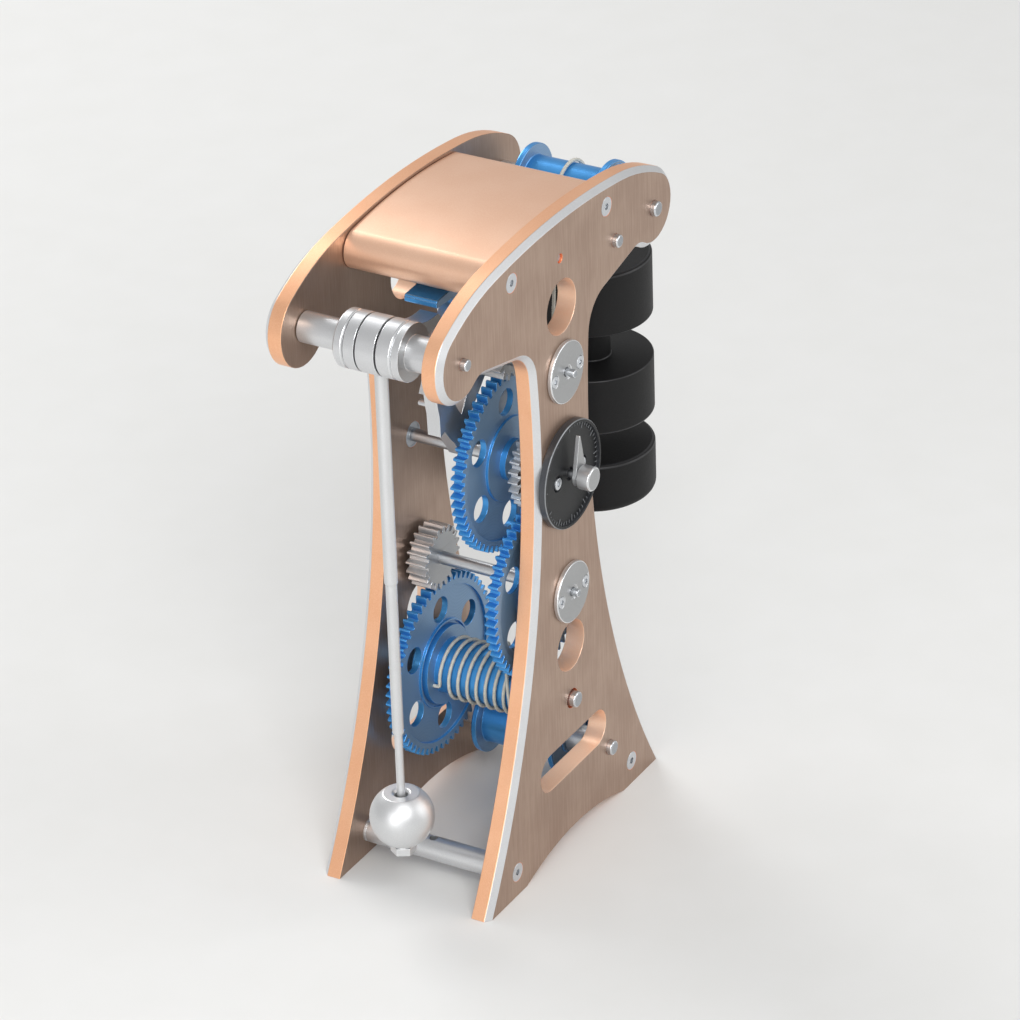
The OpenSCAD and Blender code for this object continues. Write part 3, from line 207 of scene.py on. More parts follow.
def emptied(owner: bpy.types.Material | bpy.types.World) -> bpy.types.NodeTree:
    """Gives a material or a world an empty node tree.

    Args:
        owner: the material or world.

    Returns:
        Its tree.
    """
    owner.use_nodes = True
    owner.node_tree.nodes.clear()
    return owner.node_tree


def put(name: str, data: bpy.types.ID) -> bpy.types.Object:
    """Puts a new object into the scene.

    Args:
        name: its name.
        data: the mesh, curve, lamp or camera that it shows.

    Returns:
        The object.
    """
    made = bpy.data.objects.new(name, data)
    bpy.context.scene.collection.objects.link(made)
    return made


def mesh_of(form: bmesh.types.BMesh, name: str) -> bpy.types.Mesh:
    """Turns a form into a mesh.

    Args:
        form: the form, which is used up.
        name: name of the mesh.

    Returns:
        The mesh.
    """
    mesh = bpy.data.meshes.new(name)
    form.to_mesh(mesh)
    form.free()
    return mesh


def baked(shown: bpy.types.Object) -> bpy.types.Mesh:
    """Turns what an object shows through its live modifiers into plain mesh.

    Args:
        shown: the object, left as it is.

    Returns:
        The new mesh.
    """
    bpy.context.view_layer.update()
    graph = bpy.context.evaluated_depsgraph_get()
    return bpy.data.meshes.new_from_object(shown.evaluated_get(graph))


class Grain(Enum):
    """How a surface was finished, which sets the pattern of its fine relief."""

    TURNED = "rings round the part's own axis, left by the lathe"
    BRUSHED = "long fine lines along the height"
    SATIN = "even fine texture of a blasted and anodised surface"
    CAST = "coarse texture of painted cast iron"
    LAID = "fibres along a cord"


@dataclass(frozen=True)
class Finish:
    """A metal, paint or fibre surface.

    Attributes:
        name: plain name of the surface.
        slot: material slot of the record that it belongs to; not used.
        tone: main colour, sRGB hex.
        shade: second colour that drifts through the first, sRGB hex.
        metallic: 1 for bare metal, 0 for paint and fibre.
        roughness: middle roughness of the surface.
        grain: kind of fine relief.
        pitch_mm: real spacing of that relief, drawn no finer than shows in the render.
        relief: strength of the relief.
        centre: point that lathe rings run round, in the frame.
        upright: true where the lathe axis is vertical and not front to back.
        gloss: Blender's specular level, which matters for paint and fibre.
    """

    name: str
    slot: str
    tone: str
    shade: str
    metallic: float
    roughness: float
    grain: Grain
    pitch_mm: float
    relief: float
    centre: Point = (0.0, 0.0, 0.0)
    upright: bool = False
    gloss: float = 0.5

    def around(self, centre: Vector, upright: bool = False) -> Finish:
        """Gives the same finish with lathe rings round another point.

        Args:
            centre: point on the lathe axis.
            upright: true for a vertical axis.

        Returns:
            The finish with its new centre.
        """
        return replace(self, centre=tuple(round(v, 5) for v in centre), upright=upright)

    @property
    def label(self) -> str:
        """Name of the Blender material, one for each centre."""
        if self.grain is not Grain.TURNED:
            return self.name
        # The centre is named in tenths of a millimetre
        spot = "_".join(str(round(v * 10000)) for v in self.centre)
        return f"{self.name}_{spot}{'_up' if self.upright else ''}"

    def material(self) -> bpy.types.Material:
        """Builds the material, or returns it if it is already there.

        Returns:
            The Blender material.
        """
        ready = bpy.data.materials.get(self.label)
        if ready:
            return ready
        made = bpy.data.materials.new(self.label)
        tree = emptied(made)
        add = partial(add_node, tree)
        relief = self._relief(tree)
        space = self._object_space(tree)
        patches = add("ShaderNodeTexNoise", {"Vector": space, "Scale": PATCHES_PER_M, "Detail": 3.0})
        # Blender's noise keeps mostly between 0.3 and 0.7
        usual = {"Value": patches.outputs[0], "From Min": 0.3, "From Max": 0.7}
        drift = add("ShaderNodeMapRange", usual)
        shares = {0: drift.outputs[0], 1: relief, 2: relief}
        fine = add("ShaderNodeMath", shares, {"operation": "MULTIPLY_ADD"})
        tone = add(
            "ShaderNodeMix",
            {"Factor": fine.outputs[0], 6: linear(self.tone), 7: linear(self.shade)},
            {"data_type": "RGBA", "clamp_factor": True},
        )
        least, most = max(SMOOTHEST, self.roughness - SMOOTHER), self.roughness + ROUGHER
        rough = add("ShaderNodeMapRange", {"Value": relief, "To Min": least, "To Max": most})
        depth = self.pitch_mm * MM * RELIEF_DEPTH
        height = {"Strength": self.relief, "Distance": depth, "Height": relief}
        bump = add("ShaderNodeBump", height)
        shader = add(
            "ShaderNodeBsdfPrincipled",
            {
                "Base Color": tone.outputs[2],
                "Metallic": self.metallic,
                "Roughness": rough.outputs[0],
                "Normal": bump.outputs[0],
                "Specular IOR Level": self.gloss,
            },
        )
        add("ShaderNodeOutputMaterial", {"Surface": shader.outputs[0]})
        made.diffuse_color = linear(self.tone)
        return made

    def _object_space(
        self, tree: bpy.types.NodeTree, scale: Point = (1.0, 1.0, 1.0)
    ) -> bpy.types.NodeSocket:
        """Object coordinates measured from the finish's centre.

        Args:
            tree: material's node tree.
            scale: stretch along each axis.

        Returns:
            The socket with the coordinates.
        """
        spot = add_node(tree, "ShaderNodeTexCoord").outputs["Object"]
        shift = tuple(-c * s for c, s in zip(self.centre, scale))
        inputs = {"Vector": spot, "Location": shift, "Scale": scale}
        return add_node(tree, "ShaderNodeMapping", inputs).outputs[0]

    def _relief(self, tree: bpy.types.NodeTree) -> bpy.types.NodeSocket:
        """Builds the fine relief, from 0 to 1.

        Args:
            tree: material's node tree.

        Returns:
            The socket with the height.
        """
        add = partial(add_node, tree)
        per_pitch = 1 / (self.pitch_mm * MM)
        if self.grain is Grain.TURNED:
            # Blender's ring wave repeats every pi / 10 of its coordinates
            waves = add(
                "ShaderNodeTexWave",
                {
                    "Vector": self._object_space(tree),
                    "Scale": per_pitch * math.pi / 10,
                    "Distortion": 1.2,
                    "Detail": 2.0,
                    "Detail Scale": 0.4,
                },
                {"wave_type": "RINGS", "rings_direction": "Z" if self.upright else "Y"},
            )
            return waves.outputs[1]
        if self.grain is Grain.BRUSHED:
            # A brushed line is 45 times as long as it is wide
            space = self._object_space(tree, (per_pitch, per_pitch, per_pitch / 45))
            lines = add("ShaderNodeTexNoise", {"Vector": space, "Scale": 1.0, "Detail": 4.0})
            return lines.outputs[0]
        if self.grain is Grain.LAID:
            lay = add("ShaderNodeUVMap", settings={"uv_map": "lay"}).outputs[0]
            fibres = add(
                "ShaderNodeTexWave",
                {"Vector": lay, "Scale": 3.0, "Distortion": 1.0},
                {"wave_type": "BANDS", "bands_direction": "DIAGONAL"},
            )
            return fibres.outputs[1]
        detail = 6.0 if self.grain is Grain.CAST else 2.0
        space = self._object_space(tree)
        specks = add("ShaderNodeTexNoise", {"Vector": space, "Scale": per_pitch, "Detail": detail})
        return specks.outputs[0]


@dataclass(frozen=True)
class Stock:
    """One metal in the three states that a machined piece shows.

    Attributes:
        wall: surface of its walls.
        face: surface of its flat ends, whose duller tone is painted shade, and a painted reflection on the
            blue metal.
        edge: surface of its broken edges.
    """

    wall: Finish
    face: Finish
    edge: Finish


# Each finish gives name, slot, tone, shade, metallic, roughness, grain, pitch_mm and relief.

# Rose-copper anodised aluminium. The flat faces are brushed and carry a greyer tone than the
# milled walls, whose brighter copper is a painted highlight; the paler copper in the windows is
# painted light, the deeper orange in the bores is a painted reflection, and the chamfer round
# the outline shows bright metal.
PLATE_FACE = Finish(
    "rose_anodised_face", "copper_alloy", "#BCA493", "#A48B7B", 0.85, 0.38, Grain.BRUSHED, 0.45, 0.25
)
# Brighter copper of the milled walls: a painted highlight
PLATE_WALL_PAINTED_HIGHLIGHT = Finish(
    "rose_anodised_wall", "copper_alloy", "#FBC6A0", "#EFB48C", 0.7, 0.36, Grain.SATIN, 0.5, 0.08
)
COVER_SKIN = Finish(
    "rose_anodised_cover", "copper_alloy", "#FFD7BC", "#F6C8AA", 0.8, 0.36, Grain.SATIN, 0.5, 0.06
)
# Deeper orange of the bores, also used on the cover's flat ends: a painted reflection
COPPER_PAINTED_REFLECTION = Finish(
    "rose_anodised_bore", "copper_alloy", "#FF9D70", "#F08A5C", 0.6, 0.34, Grain.SATIN, 0.4, 0.08
)
# Paler copper of the windows: painted light against the shade inside them
PLATE_WINDOW_PAINTED_LIGHT = Finish(
    "rose_anodised_window", "copper_alloy", "#FFDFC6", "#FBD0B2", 0.6, 0.36, Grain.SATIN, 0.5, 0.06
)
PLATE_CHAMFER = Finish(
    "bright_milled_chamfer", "copper_alloy", "#D9DADB", "#CFD0D2", 0.6, 0.36, Grain.SATIN, 0.8, 0.03
)
# Azure anodised aluminium: greyer on faces that the lathe left flat, where the grey is a painted
# reflection, deep blue on edges
BLUE_FACE_PAINTED_REFLECTION = Finish(
    "azure_anodised_face", "blue_alloy", "#87A7C6", "#7898B8", 0.5, 0.38, Grain.TURNED, 0.7, 0.3
)
BLUE_WALL = Finish(
    "azure_anodised_wall", "blue_alloy", "#50A0E2", "#4192D4", 0.6, 0.32, Grain.SATIN, 0.4, 0.08
)
BLUE_EDGE = Finish(
    "azure_anodised_edge", "blue_alloy", "#7FBBF5", "#6AAAE8", 0.85, 0.25, Grain.SATIN, 0.4, 0.05
)
# Turned and milled aluminium left clear, with the lathe's rings on its faces, whose darker grey is a
# painted shade
CLEAR_FACE_PAINTED_SHADE = Finish(
    "clear_turned_face", "clear_alloy", "#B4B5B6", "#A5A6A7", 0.85, 0.36, Grain.TURNED, 0.6, 0.3
)
CLEAR_FLAT_PAINTED_SHADE = Finish(
    "clear_milled_face", "clear_alloy", "#B0B1B2", "#A4A5A6", 0.85, 0.36, Grain.SATIN, 0.5, 0.08
)
CLEAR_WALL = Finish(
    "clear_turned_wall", "clear_alloy", "#E0E1E2", "#D2D3D5", 0.85, 0.34, Grain.SATIN, 0.5, 0.06
)
CLEAR_EDGE = Finish(
    "clear_broken_edge", "clear_alloy", "#F0F1F2", "#E4E6E8", 0.95, 0.2, Grain.SATIN, 0.5, 0.05
)
# Ground silver steel of arbors, pins and rods, which shines evenly in narrow streaks; its turned faces'
# darker grey is a painted shade
STEEL_WALL = Finish(
    "ground_steel_wall", "steel", "#DADCDF", "#CACDD1", 1.0, 0.34, Grain.SATIN, 0.4, 0.08
)
STEEL_FACE_PAINTED_SHADE = Finish(
    "turned_steel_face", "steel", "#AEB1B5", "#9EA2A7", 1.0, 0.28, Grain.TURNED, 0.5, 0.3
)
STEEL_EDGE = Finish("steel_broken_edge", "steel", "#E6E8EB", "#D8DBDF", 1.0, 0.18, Grain.SATIN, 0.4, 0.05)
# Bead-blasted steel of the pendulum, pale and even
BLASTED_WALL = Finish(
    "blasted_steel_wall", "steel", "#DCDDDE", "#D2D3D4", 0.8, 0.42, Grain.SATIN, 0.5, 0.06
)
BLASTED_EDGE = Finish(
    "blasted_steel_edge", "steel", "#ECEDEE", "#E4E5E6", 0.85, 0.3, Grain.SATIN, 0.5, 0.04
)
# Painted cast iron of the weight: matt, slightly pebbled, worn grey on its corners
IRON_FACE = Finish(
    "black_painted_iron", "cast_weight", "#0E0E0F", "#0B0B0C", 0.0, 0.55, Grain.CAST, 0.9, 0.25, gloss=0.3
)
IRON_EDGE = Finish(
    "worn_iron_corner", "cast_weight", "#29292B", "#212123", 0.1, 0.42, Grain.CAST, 0.9, 0.15
)
# Black anodised dial: a dull dish with faint rings, a bright turned lip and pale marks
DIAL_FACE = Finish(
    "black_anodised_dial", "dial_black", "#1F2022", "#191A1B", 0.2, 0.4, Grain.TURNED, 0.8, 0.3, gloss=0.3
)
DIAL_EDGE = Finish("black_dial_edge", "dial_black", "#5A5C60", "#4A4C50", 0.6, 0.3, Grain.SATIN, 0.4, 0.05)
DIAL_LIP = Finish("dial_turned_lip", "dial_black", "#A4A7AA", "#94979A", 0.8, 0.3, Grain.SATIN, 0.4, 0.05)
DIAL_MARK = Finish("dial_mark", "dial_black", "#8C8E91", "#7E8083", 0.3, 0.4, Grain.SATIN, 0.4, 0.05)
# Turned acetal of the spacer, dull as wax, and brass of the thin washer, a warm glint
BEIGE_WALL = Finish(
    "beige_acetal", "spacer_beige", "#B3B2A0", "#A5A491", 0.0, 0.45, Grain.SATIN, 0.6, 0.08
)
BRASS_WALL = Finish("yellow_brass", "washer_brass", "#C9A85C", "#B8954A", 1.0, 0.28, Grain.SATIN, 0.4, 0.08)
# Waxed cord of fine fibres, which show as slanting lines of light and shade
CORD = Finish("waxed_line", "line_fibre", "#E6E4DB", "#C0BDB0", 0.0, 0.62, Grain.LAID, 0.7, 0.5)
# Metals as a lathe or a mill leaves them, with painted shade on their flat ends and a painted reflection on
# the blue one's
CLEAR = Stock(CLEAR_WALL, CLEAR_FACE_PAINTED_SHADE, CLEAR_EDGE)
MILLED = Stock(CLEAR_WALL, CLEAR_FLAT_PAINTED_SHADE, CLEAR_EDGE)
STEEL = Stock(STEEL_WALL, STEEL_FACE_PAINTED_SHADE, STEEL_EDGE)
BLUE = Stock(BLUE_WALL, BLUE_FACE_PAINTED_REFLECTION, BLUE_EDGE)


def all_alike(middle: Vector, normal: Vector) -> int:
    """Gives every face the piece's first surface."""
    return 0


def facing_rule(upright: bool = False) -> Rule:
    """Sorts faces into walls, which are number 0, and flat ends, which are number 1.

    Args:
        upright: true where the piece stands along Z and not front to back.

    Returns:
        A rule from a face's middle and normal to the number of its surface.
    """
    axis = 2 if upright else 1
    # Flat ends take the second finish, whose tone holds painted shade, and a painted reflection on blue
    # pieces and the cover's ends
    return lambda middle, normal: int(abs(normal[axis]) > SQUARE)


@dataclass
class Bench:
    """Takes solids from the frame, finishes them and hands them back to their bodies.

    Attributes:
        sharp_deg: edges that turn more than this are broken.
        level_deg: edges that turn less than this are taken out of a solid's flat faces.
        weld_mm: points that lie closer than this are one.
        segments: steps across a broken edge.
        pieces: number of pieces made so far.
    """

    frame: dict
    sharp_deg: float = 32.0
    level_deg: float = 0.6
    weld_mm: float = 0.002
    segments: int = 2
    pieces: int = 0

    def dress(
        self,
        node: str,
        finishes: Sequence[Finish],
        rule: Rule = all_alike,
        break_mm: float = 0.25,
        edge: Finish | None = None,
        form: bpy.types.Mesh | None = None,
    ) -> None:
        """Makes the finished piece that stands for one solid of the frame.

        Args:
            node: name of the solid.
            finishes: surfaces that the rule chooses from.
            rule: chooses a surface for each face.
            break_mm: width of the broken edges.
            edge: surface of the broken edges, where it differs.
            form: mesh that shows more of the shape than the solid does, if there is one.
        """
        source = self.frame["nodes"][node]
        mesh = self._welded(form or source.data, rule)
        piece = self.adopt(mesh, f"{node}_finished", [*finishes, edge] if edge else finishes)
        bevel = piece.modifiers.new("broken_edge", "BEVEL")
        bevel.width = break_mm * MM
        bevel.segments = self.segments
        bevel.limit_method = "ANGLE"
        bevel.angle_limit = math.radians(self.sharp_deg)
        bevel.use_clamp_overlap = False
        bevel.material = len(finishes) if edge else -1
        joined = piece.modifiers.new("joined_points", "WELD")
        joined.merge_threshold = self.weld_mm * MM
        shading = piece.modifiers.new("even_shading", "WEIGHTED_NORMAL")
        shading.keep_sharp = True
        done = baked(piece)
        piece.modifiers.clear()
        piece.data = done
        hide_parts(node)
        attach(piece, source["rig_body"])
        LOG.info("finished %s", node)

    def machine(
        self, nodes: Iterable[str], stock: Stock, break_mm: float, centre: Vector | None = None
    ) -> None:
        """Finishes pieces of one metal that lie front to back.

        Args:
            nodes: names of the solids.
            stock: their metal.
            break_mm: width of the broken edges.
            centre: point on the axis that they were turned about, if a lathe made them.
        """
        face = stock.face if centre is None else stock.face.around(centre)
        for node in nodes:
            self.dress(node, [stock.wall, face], facing_rule(), break_mm, stock.edge)

    def adopt(
        self, mesh: bpy.types.Mesh, name: str, finishes: Sequence[Finish]
    ) -> bpy.types.Object:
        """Puts a mesh into the scene with its materials.

        Args:
            mesh: mesh whose places are the frame's.
            name: name of the piece.
            finishes: its surfaces, in the order of its material numbers.

        Returns:
            The new object.
        """
        mesh.name = name
        if mesh.materials:
            mesh.materials.clear()
        for finish in finishes:
            mesh.materials.append(finish.material())
        piece = put(name, mesh)
        self.pieces += 1
        return piece

    def _welded(self, mesh: bpy.types.Mesh, rule: Rule) -> bpy.types.Mesh:
        """Welds a copy of a solid's loose triangles and sorts its faces.

        Args:
            mesh: mesh of the solid, left as it is.
            rule: chooses a surface for each face.

        Returns:
            The welded copy.
        """
        work = bmesh.new()
        work.from_mesh(mesh)
        bmesh.ops.remove_doubles(work, verts=work.verts, dist=self.weld_mm * MM)
        bmesh.ops.dissolve_limit(
            work, angle_limit=math.radians(self.level_deg), verts=work.verts, edges=work.edges
        )
        work.normal_update()
        for face in work.faces:
            face.material_index = rule(face.calc_center_median(), face.normal)
            face.smooth = True
        welded = mesh_of(work, "welded")
        welded.set_sharp_from_angle(angle=math.radians(self.sharp_deg))
        return welded


class GeometryTree:
    """A Geometry Nodes tree with named inputs, and how a piece is made from it."""

    def __init__(self, name: str) -> None:
        """Starts a tree with a geometry input and output.

        Args:
            name: name of the tree.
        """
        self.tree = bpy.data.node_groups.new(name, "GeometryNodeTree")
        for flow in ("INPUT", "OUTPUT"):
            self.tree.interface.new_socket("Geometry", in_out=flow, socket_type="NodeSocketGeometry")
        self.entry = self.tree.nodes.new("NodeGroupInput")

    def size(self, name: str, value: float) -> None:
        """Adds a named size to the tree.

        Args:
            name: name of the size.
            value: its value unless a piece sets another.
        """
        socket = self.tree.interface.new_socket(name, in_out="INPUT", socket_type="NodeSocketFloat")
        socket.default_value = value

    def finish(self, geometry: bpy.types.NodeSocket, material: bpy.types.Material) -> None:
        """Ends the tree in real mesh with its material.

        Args:
            geometry: what the tree has made.
            material: material of the result.
        """
        real = add_node(self.tree, "GeometryNodeRealizeInstances", {0: geometry})
        surfaced = add_node(
            self.tree, "GeometryNodeSetMaterial", {"Geometry": real.outputs[0], "Material": material}
        )
        add_node(self.tree, "NodeGroupOutput", {0: surfaced.outputs[0]})

    def make(self, source: bpy.types.Object, sizes: dict[str, float]) -> bpy.types.Mesh:
        """Runs the tree on an object.

        Args:
            source: object with the points or curve that the tree starts from; it is used up.
            sizes: values for the tree's named sizes.

        Returns:
            The finished mesh.
        """
        modifier = source.modifiers.new(self.tree.name, "NODES")
        modifier.node_group = self.tree
        for item in self.tree.interface.items_tree:
            if item.in_out == "INPUT" and item.name in sizes:
                modifier[item.identifier] = sizes[item.name]
        mesh = baked(source)
        bpy.data.objects.remove(source)
        return mesh


def lathe(profile: Sequence[Spot], steps: int) -> bmesh.types.BMesh:
    """Turns a profile round the Z axis into a closed form.

    Args:
        profile: radius and height of each point in mm, from the axis out and back.
        steps: number of steps round the axis.

    Returns:
        The form, in metres, with its normals outwards.
    """
    work = bmesh.new()
    points = [work.verts.new((r * MM, 0, h * MM)) for r, h in profile]
    edges = [work.edges.new(pair) for pair in zip(points, points[1:])]
    bmesh.ops.spin(
        work,
        geom=points + edges,
        cent=(0, 0, 0),
        axis=(0, 0, 1),
        angle=2 * math.pi,
        steps=steps,
        use_duplicate=False,
    )
    bmesh.ops.remove_doubles(work, verts=work.verts, dist=SAME_POINT)
    bmesh.ops.recalc_face_normals(work, faces=work.faces)
    return work


@dataclass
class Repeater:
    """Sets copies of one small form at many places with Geometry Nodes.

    Attributes:
        bench: where the pieces go.
        smooth_deg: edges of the form that turn less than this are shaded smooth.
    """

    bench: Bench
    smooth_deg: float = 35.0

    def repeat(
        self,
        node: str,
        form: bmesh.types.BMesh,
        spots: Iterable[Vector],
        finish: Finish,
        turn_deg: float = 90.0,
    ) -> None:
        """Makes one piece of all the copies on the frame, which stands for a solid.

        Args:
            node: name of the solid.
            form: the form, along its own Z axis; it is used up.
            spots: places of the copies in the frame.
            finish: surface of the copies.
            turn_deg: turn about X that lays the form's Z axis front to back.
        """
        name = f"{node}_finished"
        mesh = mesh_of(form, f"{name}_form")
        mesh.shade_smooth()
        mesh.set_sharp_from_angle(angle=math.radians(self.smooth_deg))
        pattern = put(f"{name}_form", mesh)
        dots = bpy.data.meshes.new(f"{name}_spots")
        dots.from_pydata([tuple(s) for s in spots], [], [])
        holder = put(f"{name}_spots", dots)

        rule = GeometryTree(f"{name}_rule")
        rule.size("Turn", 0.0)
        add, entry = partial(add_node, rule.tree), rule.entry
        original = {"transform_space": "ORIGINAL"}
        shape = add("GeometryNodeObjectInfo", {"Object": pattern}, original)
        turn = add("ShaderNodeCombineXYZ", {"X": entry.outputs["Turn"]})
        copies = add(
            "GeometryNodeInstanceOnPoints",
            {
                "Points": entry.outputs["Geometry"],
                "Instance": shape.outputs["Geometry"],
                "Rotation": turn.outputs[0],
            },
        )
        rule.finish(copies.outputs[0], finish.material())
        done = rule.make(holder, {"Turn": math.radians(turn_deg)})
        bpy.data.objects.remove(pattern)
        piece = self.bench.adopt(done, name, [finish])
        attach(piece, "frame")
        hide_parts(node)
        LOG.info("repeated %s", node)


class PlateSkin(IntEnum):
    """Surfaces of a plate, each with its material number."""

    FACE = 0
    WALL = 1
    CHAMFER = 2
    BORE = 3
    WINDOW = 4


@dataclass
class Plates:
    """The two shaped plates.

    Attributes:
        break_mm: width of the broken edges.
        level_mm: a face this close to a plate's plane lies in it.
        windows: openings to look through, each as x, height and a radius that clears it.
        middle_room: radius that clears the bearing seats of the train's middle arbors.
        end_room: the same for the drum's and the escape wheel's.
        axle_room: the same for the bore of an axle.
        pillar_room: the same for the countersink of a pillar's screw.
        stud_room: the same for the bore of a stud.
    """

    bench: Bench
    break_mm: float = 0.3
    level_mm: float = 0.05
    windows: tuple[Point, ...] = ((0, 292.4, 15), (0, 110, 14), (0, 50.2, 34))
    middle_room: float = 13.0
    end_room: float = 12.0
    axle_room: float = 5.0
    pillar_room: float = 6.0
    stud_room: float = 3.0

    @property
    def bores(self) -> list[Point]:
        """Holes for arbors, axles, studs and screws, in the same way as the windows."""
        groups = (
            (self.middle_room, (THIRD, CENTRE)),
            (self.end_room, (DRUM, ESCAPE)),
            (self.axle_room, (DETENT, PENDULUM, LOWER_PULLEY, UPPER_PULLEY)),
            (self.pillar_room, PILLARS.values()),
            (self.stud_room, (STUDS,)),
        )
        return [(*spot, room) for room, spots in groups for spot in spots]

    def skin(self, middle: Vector, normal: Vector) -> PlateSkin:
        """Chooses the surface of a face of a plate.

        Args:
            middle: middle of the face.
            normal: its outward normal.

        Returns:
            The surface.
        """
        lean = abs(normal.y)
        if lean > SQUARE:
            depth = MID_DEPTH - middle.y / MM
            planes = (BACK_OUTER, BACK_INNER, FRONT_INNER, FRONT_OUTER)
            outside = min(abs(depth - p) for p in planes) < self.level_mm
            return PlateSkin.FACE if outside else PlateSkin.BORE
        if self._within(middle, self.bores):
            return PlateSkin.BORE
        if self._within(middle, self.windows):
            return PlateSkin.WINDOW
        return PlateSkin.CHAMFER if lean > SLOPED else PlateSkin.WALL

    @staticmethod
    def _within(middle: Vector, holes: Iterable[Point]) -> bool:
        """Tells whether the middle of a face lies in one of the holes."""
        x, z = middle.x / MM + MID_X, middle.z / MM
        return any(math.hypot(x - hx, z - hz) <= room for hx, hz, room in holes)

    def build(self) -> None:
        """Finishes both plates."""
        # The walls carry a painted highlight, the windows painted light and the bores a painted reflection
        skins = [PLATE_FACE, PLATE_WALL_PAINTED_HIGHLIGHT, PLATE_CHAMFER, COPPER_PAINTED_REFLECTION, PLATE_WINDOW_PAINTED_LIGHT]
        for node in ("back_plate", "front_plate"):
            self.bench.dress(node, skins, self.skin, self.break_mm)


@dataclass
class FrameFurniture:
    """Pillars, studs, collars and cover between the plates, and the detent's rings.

    Attributes:
        pillar_break: width of the broken edges of pillars and studs, in mm.
        collar_break: the same for the pulleys' collars.
        cover_break: the same for the cover.
        spacer_break: the same for the detent's spacer.
        washer_break: the same for its thin washer.
    """

    bench: Bench
    pillar_break: float = 0.15
    collar_break: float = 0.25
    cover_break: float = 0.3
    spacer_break: float = 0.2
    washer_break: float = 0.1

    def build(self) -> None:
        """Finishes pillars, studs, collars, cover, spacer and washer."""
        for node, spot in {**PILLARS, "centre_studs": STUDS}.items():
            self.bench.machine([node], CLEAR, self.pillar_break, at(spot))
        self.bench.machine(["pulley_collars"], MILLED, self.collar_break)
        # The cover's flat ends take the deeper orange that is a painted reflection
        self.bench.dress("top_cover", [COVER_SKIN, COPPER_PAINTED_REFLECTION], facing_rule(), self.cover_break)
        self.bench.dress("detent_spacer", [BEIGE_WALL], break_mm=self.spacer_break)
        self.bench.dress("detent_washer", [BRASS_WALL], break_mm=self.washer_break)


@dataclass
class Bearings:
    """Shielded ball bearings, each an inner and an outer ring with a shield between.

    Attributes:
        small: outer radius, bore radius and width of the train's bearings, in mm.
        large: the same for the drum's bearings.
        inner_ring: width of the inner ring, as a share of the span between the radii.
        outer_ring: width of the outer ring, in the same way.
        step: depth of the shield under the rings, in mm.
        lean: slope of the rings' inner walls.
        sag: depth of the shield's middle, as a share of that at its rims.
        fillet: chamfer of the rings' outer corners.
        steps: steps round the axis.
    """

    repeater: Repeater
    small: Point = (6.5, 2.05, 5.0)
    large: Point = (11.0, 4.05, 7.0)
    inner_ring: float = 0.26
    outer_ring: float = 0.2
    step: float = 0.35
    lean: float = 0.08
    sag: float = 0.7
    fillet: float = 0.18
    steps: int = 56

    def form(self, sizes: Point) -> bmesh.types.BMesh:
        """Turns one bearing from its profile.

        Args:
            sizes: outer radius, bore radius and width, in mm.

        Returns:
            The bearing along Z, from 0 to its width.
        """
        outer, bore, width = sizes
        span = outer - bore
        inner_lip, outer_lip = bore + span * self.inner_ring, outer - span * self.outer_ring
        face = [
            (bore, self.fillet),
            (bore + self.fillet, 0),
            (inner_lip, 0),
            (inner_lip + self.lean, self.step),
            (bore + span / 2, self.step * self.sag),
            (outer_lip - self.lean, self.step),
            (outer_lip, 0),
            (outer - self.fillet, 0),
            (outer, self.fillet),
        ]
        back = [(r, width - h) for r, h in reversed(face)]
        return lathe([*face, *back, face[0]], self.steps)

    def build(self) -> None:
        """Puts the eight bearings into their seats."""
        small, large = self.small[2], self.large[2]
        train = (THIRD, CENTRE, ESCAPE)
        groups = {
            "arbor_bearings_front": (self.small, [at(s, FRONT_OUTER - small) for s in train]),
            "arbor_bearings_back": (self.small, [at(s, BACK_INNER - small) for s in train]),
            "drum_bearings": (self.large, [at(DRUM, d) for d in (BACK_INNER - large, FRONT_INNER)]),
        }
        for node, (sizes, spots) in groups.items():
            self.repeater.repeat(node, self.form(sizes), spots, STEEL_WALL)


@dataclass(frozen=True)
class Screw:
    """One kind of screw with a hexagon socket, along Z with its shank downwards.

    Attributes:
        shank_r: radius of the shank, in mm.
        length: height of the tip under height 0.
        tip: chamfer of the tip.
        head: radius and height of the head's outline, from the shank to the flat top.
        across: width of the socket across its corners.
        depth: depth of the socket.
        steps: steps round the axis.
    """

    shank_r: float
    length: float
    tip: float
    head: tuple[Spot, ...]
    across: float
    depth: float
    steps: int

    def form(self) -> bmesh.types.BMesh:
        """Turns the screw and sinks its socket.

        Returns:
            The screw.
        """
        low, top = -self.length, self.head[-1][1]
        shank = [(0.0, low), (self.shank_r - self.tip, low), (self.shank_r, low + self.tip)]
        form = lathe([*shank, *self.head, (0.0, top)], self.steps)
        self._sink(form, top)
        return form

    def _sink(self, form: bmesh.types.BMesh, top: float) -> None:
        """Sinks the socket into the flat top.

        Args:
            form: screw whose top is sunk.
            top: height of the top, in mm.
        """
        level = 1e-6
        lid = [
            f
            for f in form.faces
            if abs(f.calc_center_median().z - top * MM) < level and f.normal.z > SQUARE
        ]
        bmesh.ops.delete(form, geom=lid, context="FACES")
        rim = [
            e
            for e in form.edges
            if e.is_boundary and all(abs(v.co.z - top * MM) < level for v in e.verts)
        ]
        r = self.across / 2 * MM
        turns = [math.radians(60 * i) for i in range(6)]
        corners = [Vector((r * math.cos(a), r * math.sin(a), top * MM)) for a in turns]
        upper = [form.verts.new(c) for c in corners]
        lower = [form.verts.new(c - Vector((0, 0, self.depth * MM))) for c in corners]
        walls = list(zip(upper, upper[1:] + upper[:1], lower[1:] + lower[:1], lower))
        hexagon = [form.edges.new(wall[:2]) for wall in walls]
        bmesh.ops.triangle_fill(form, use_beauty=True, edges=rim + hexagon)
        for corners_of_wall in walls:
            form.faces.new(corners_of_wall)
        form.faces.new(lower)
        bmesh.ops.recalc_face_normals(form, faces=form.faces)


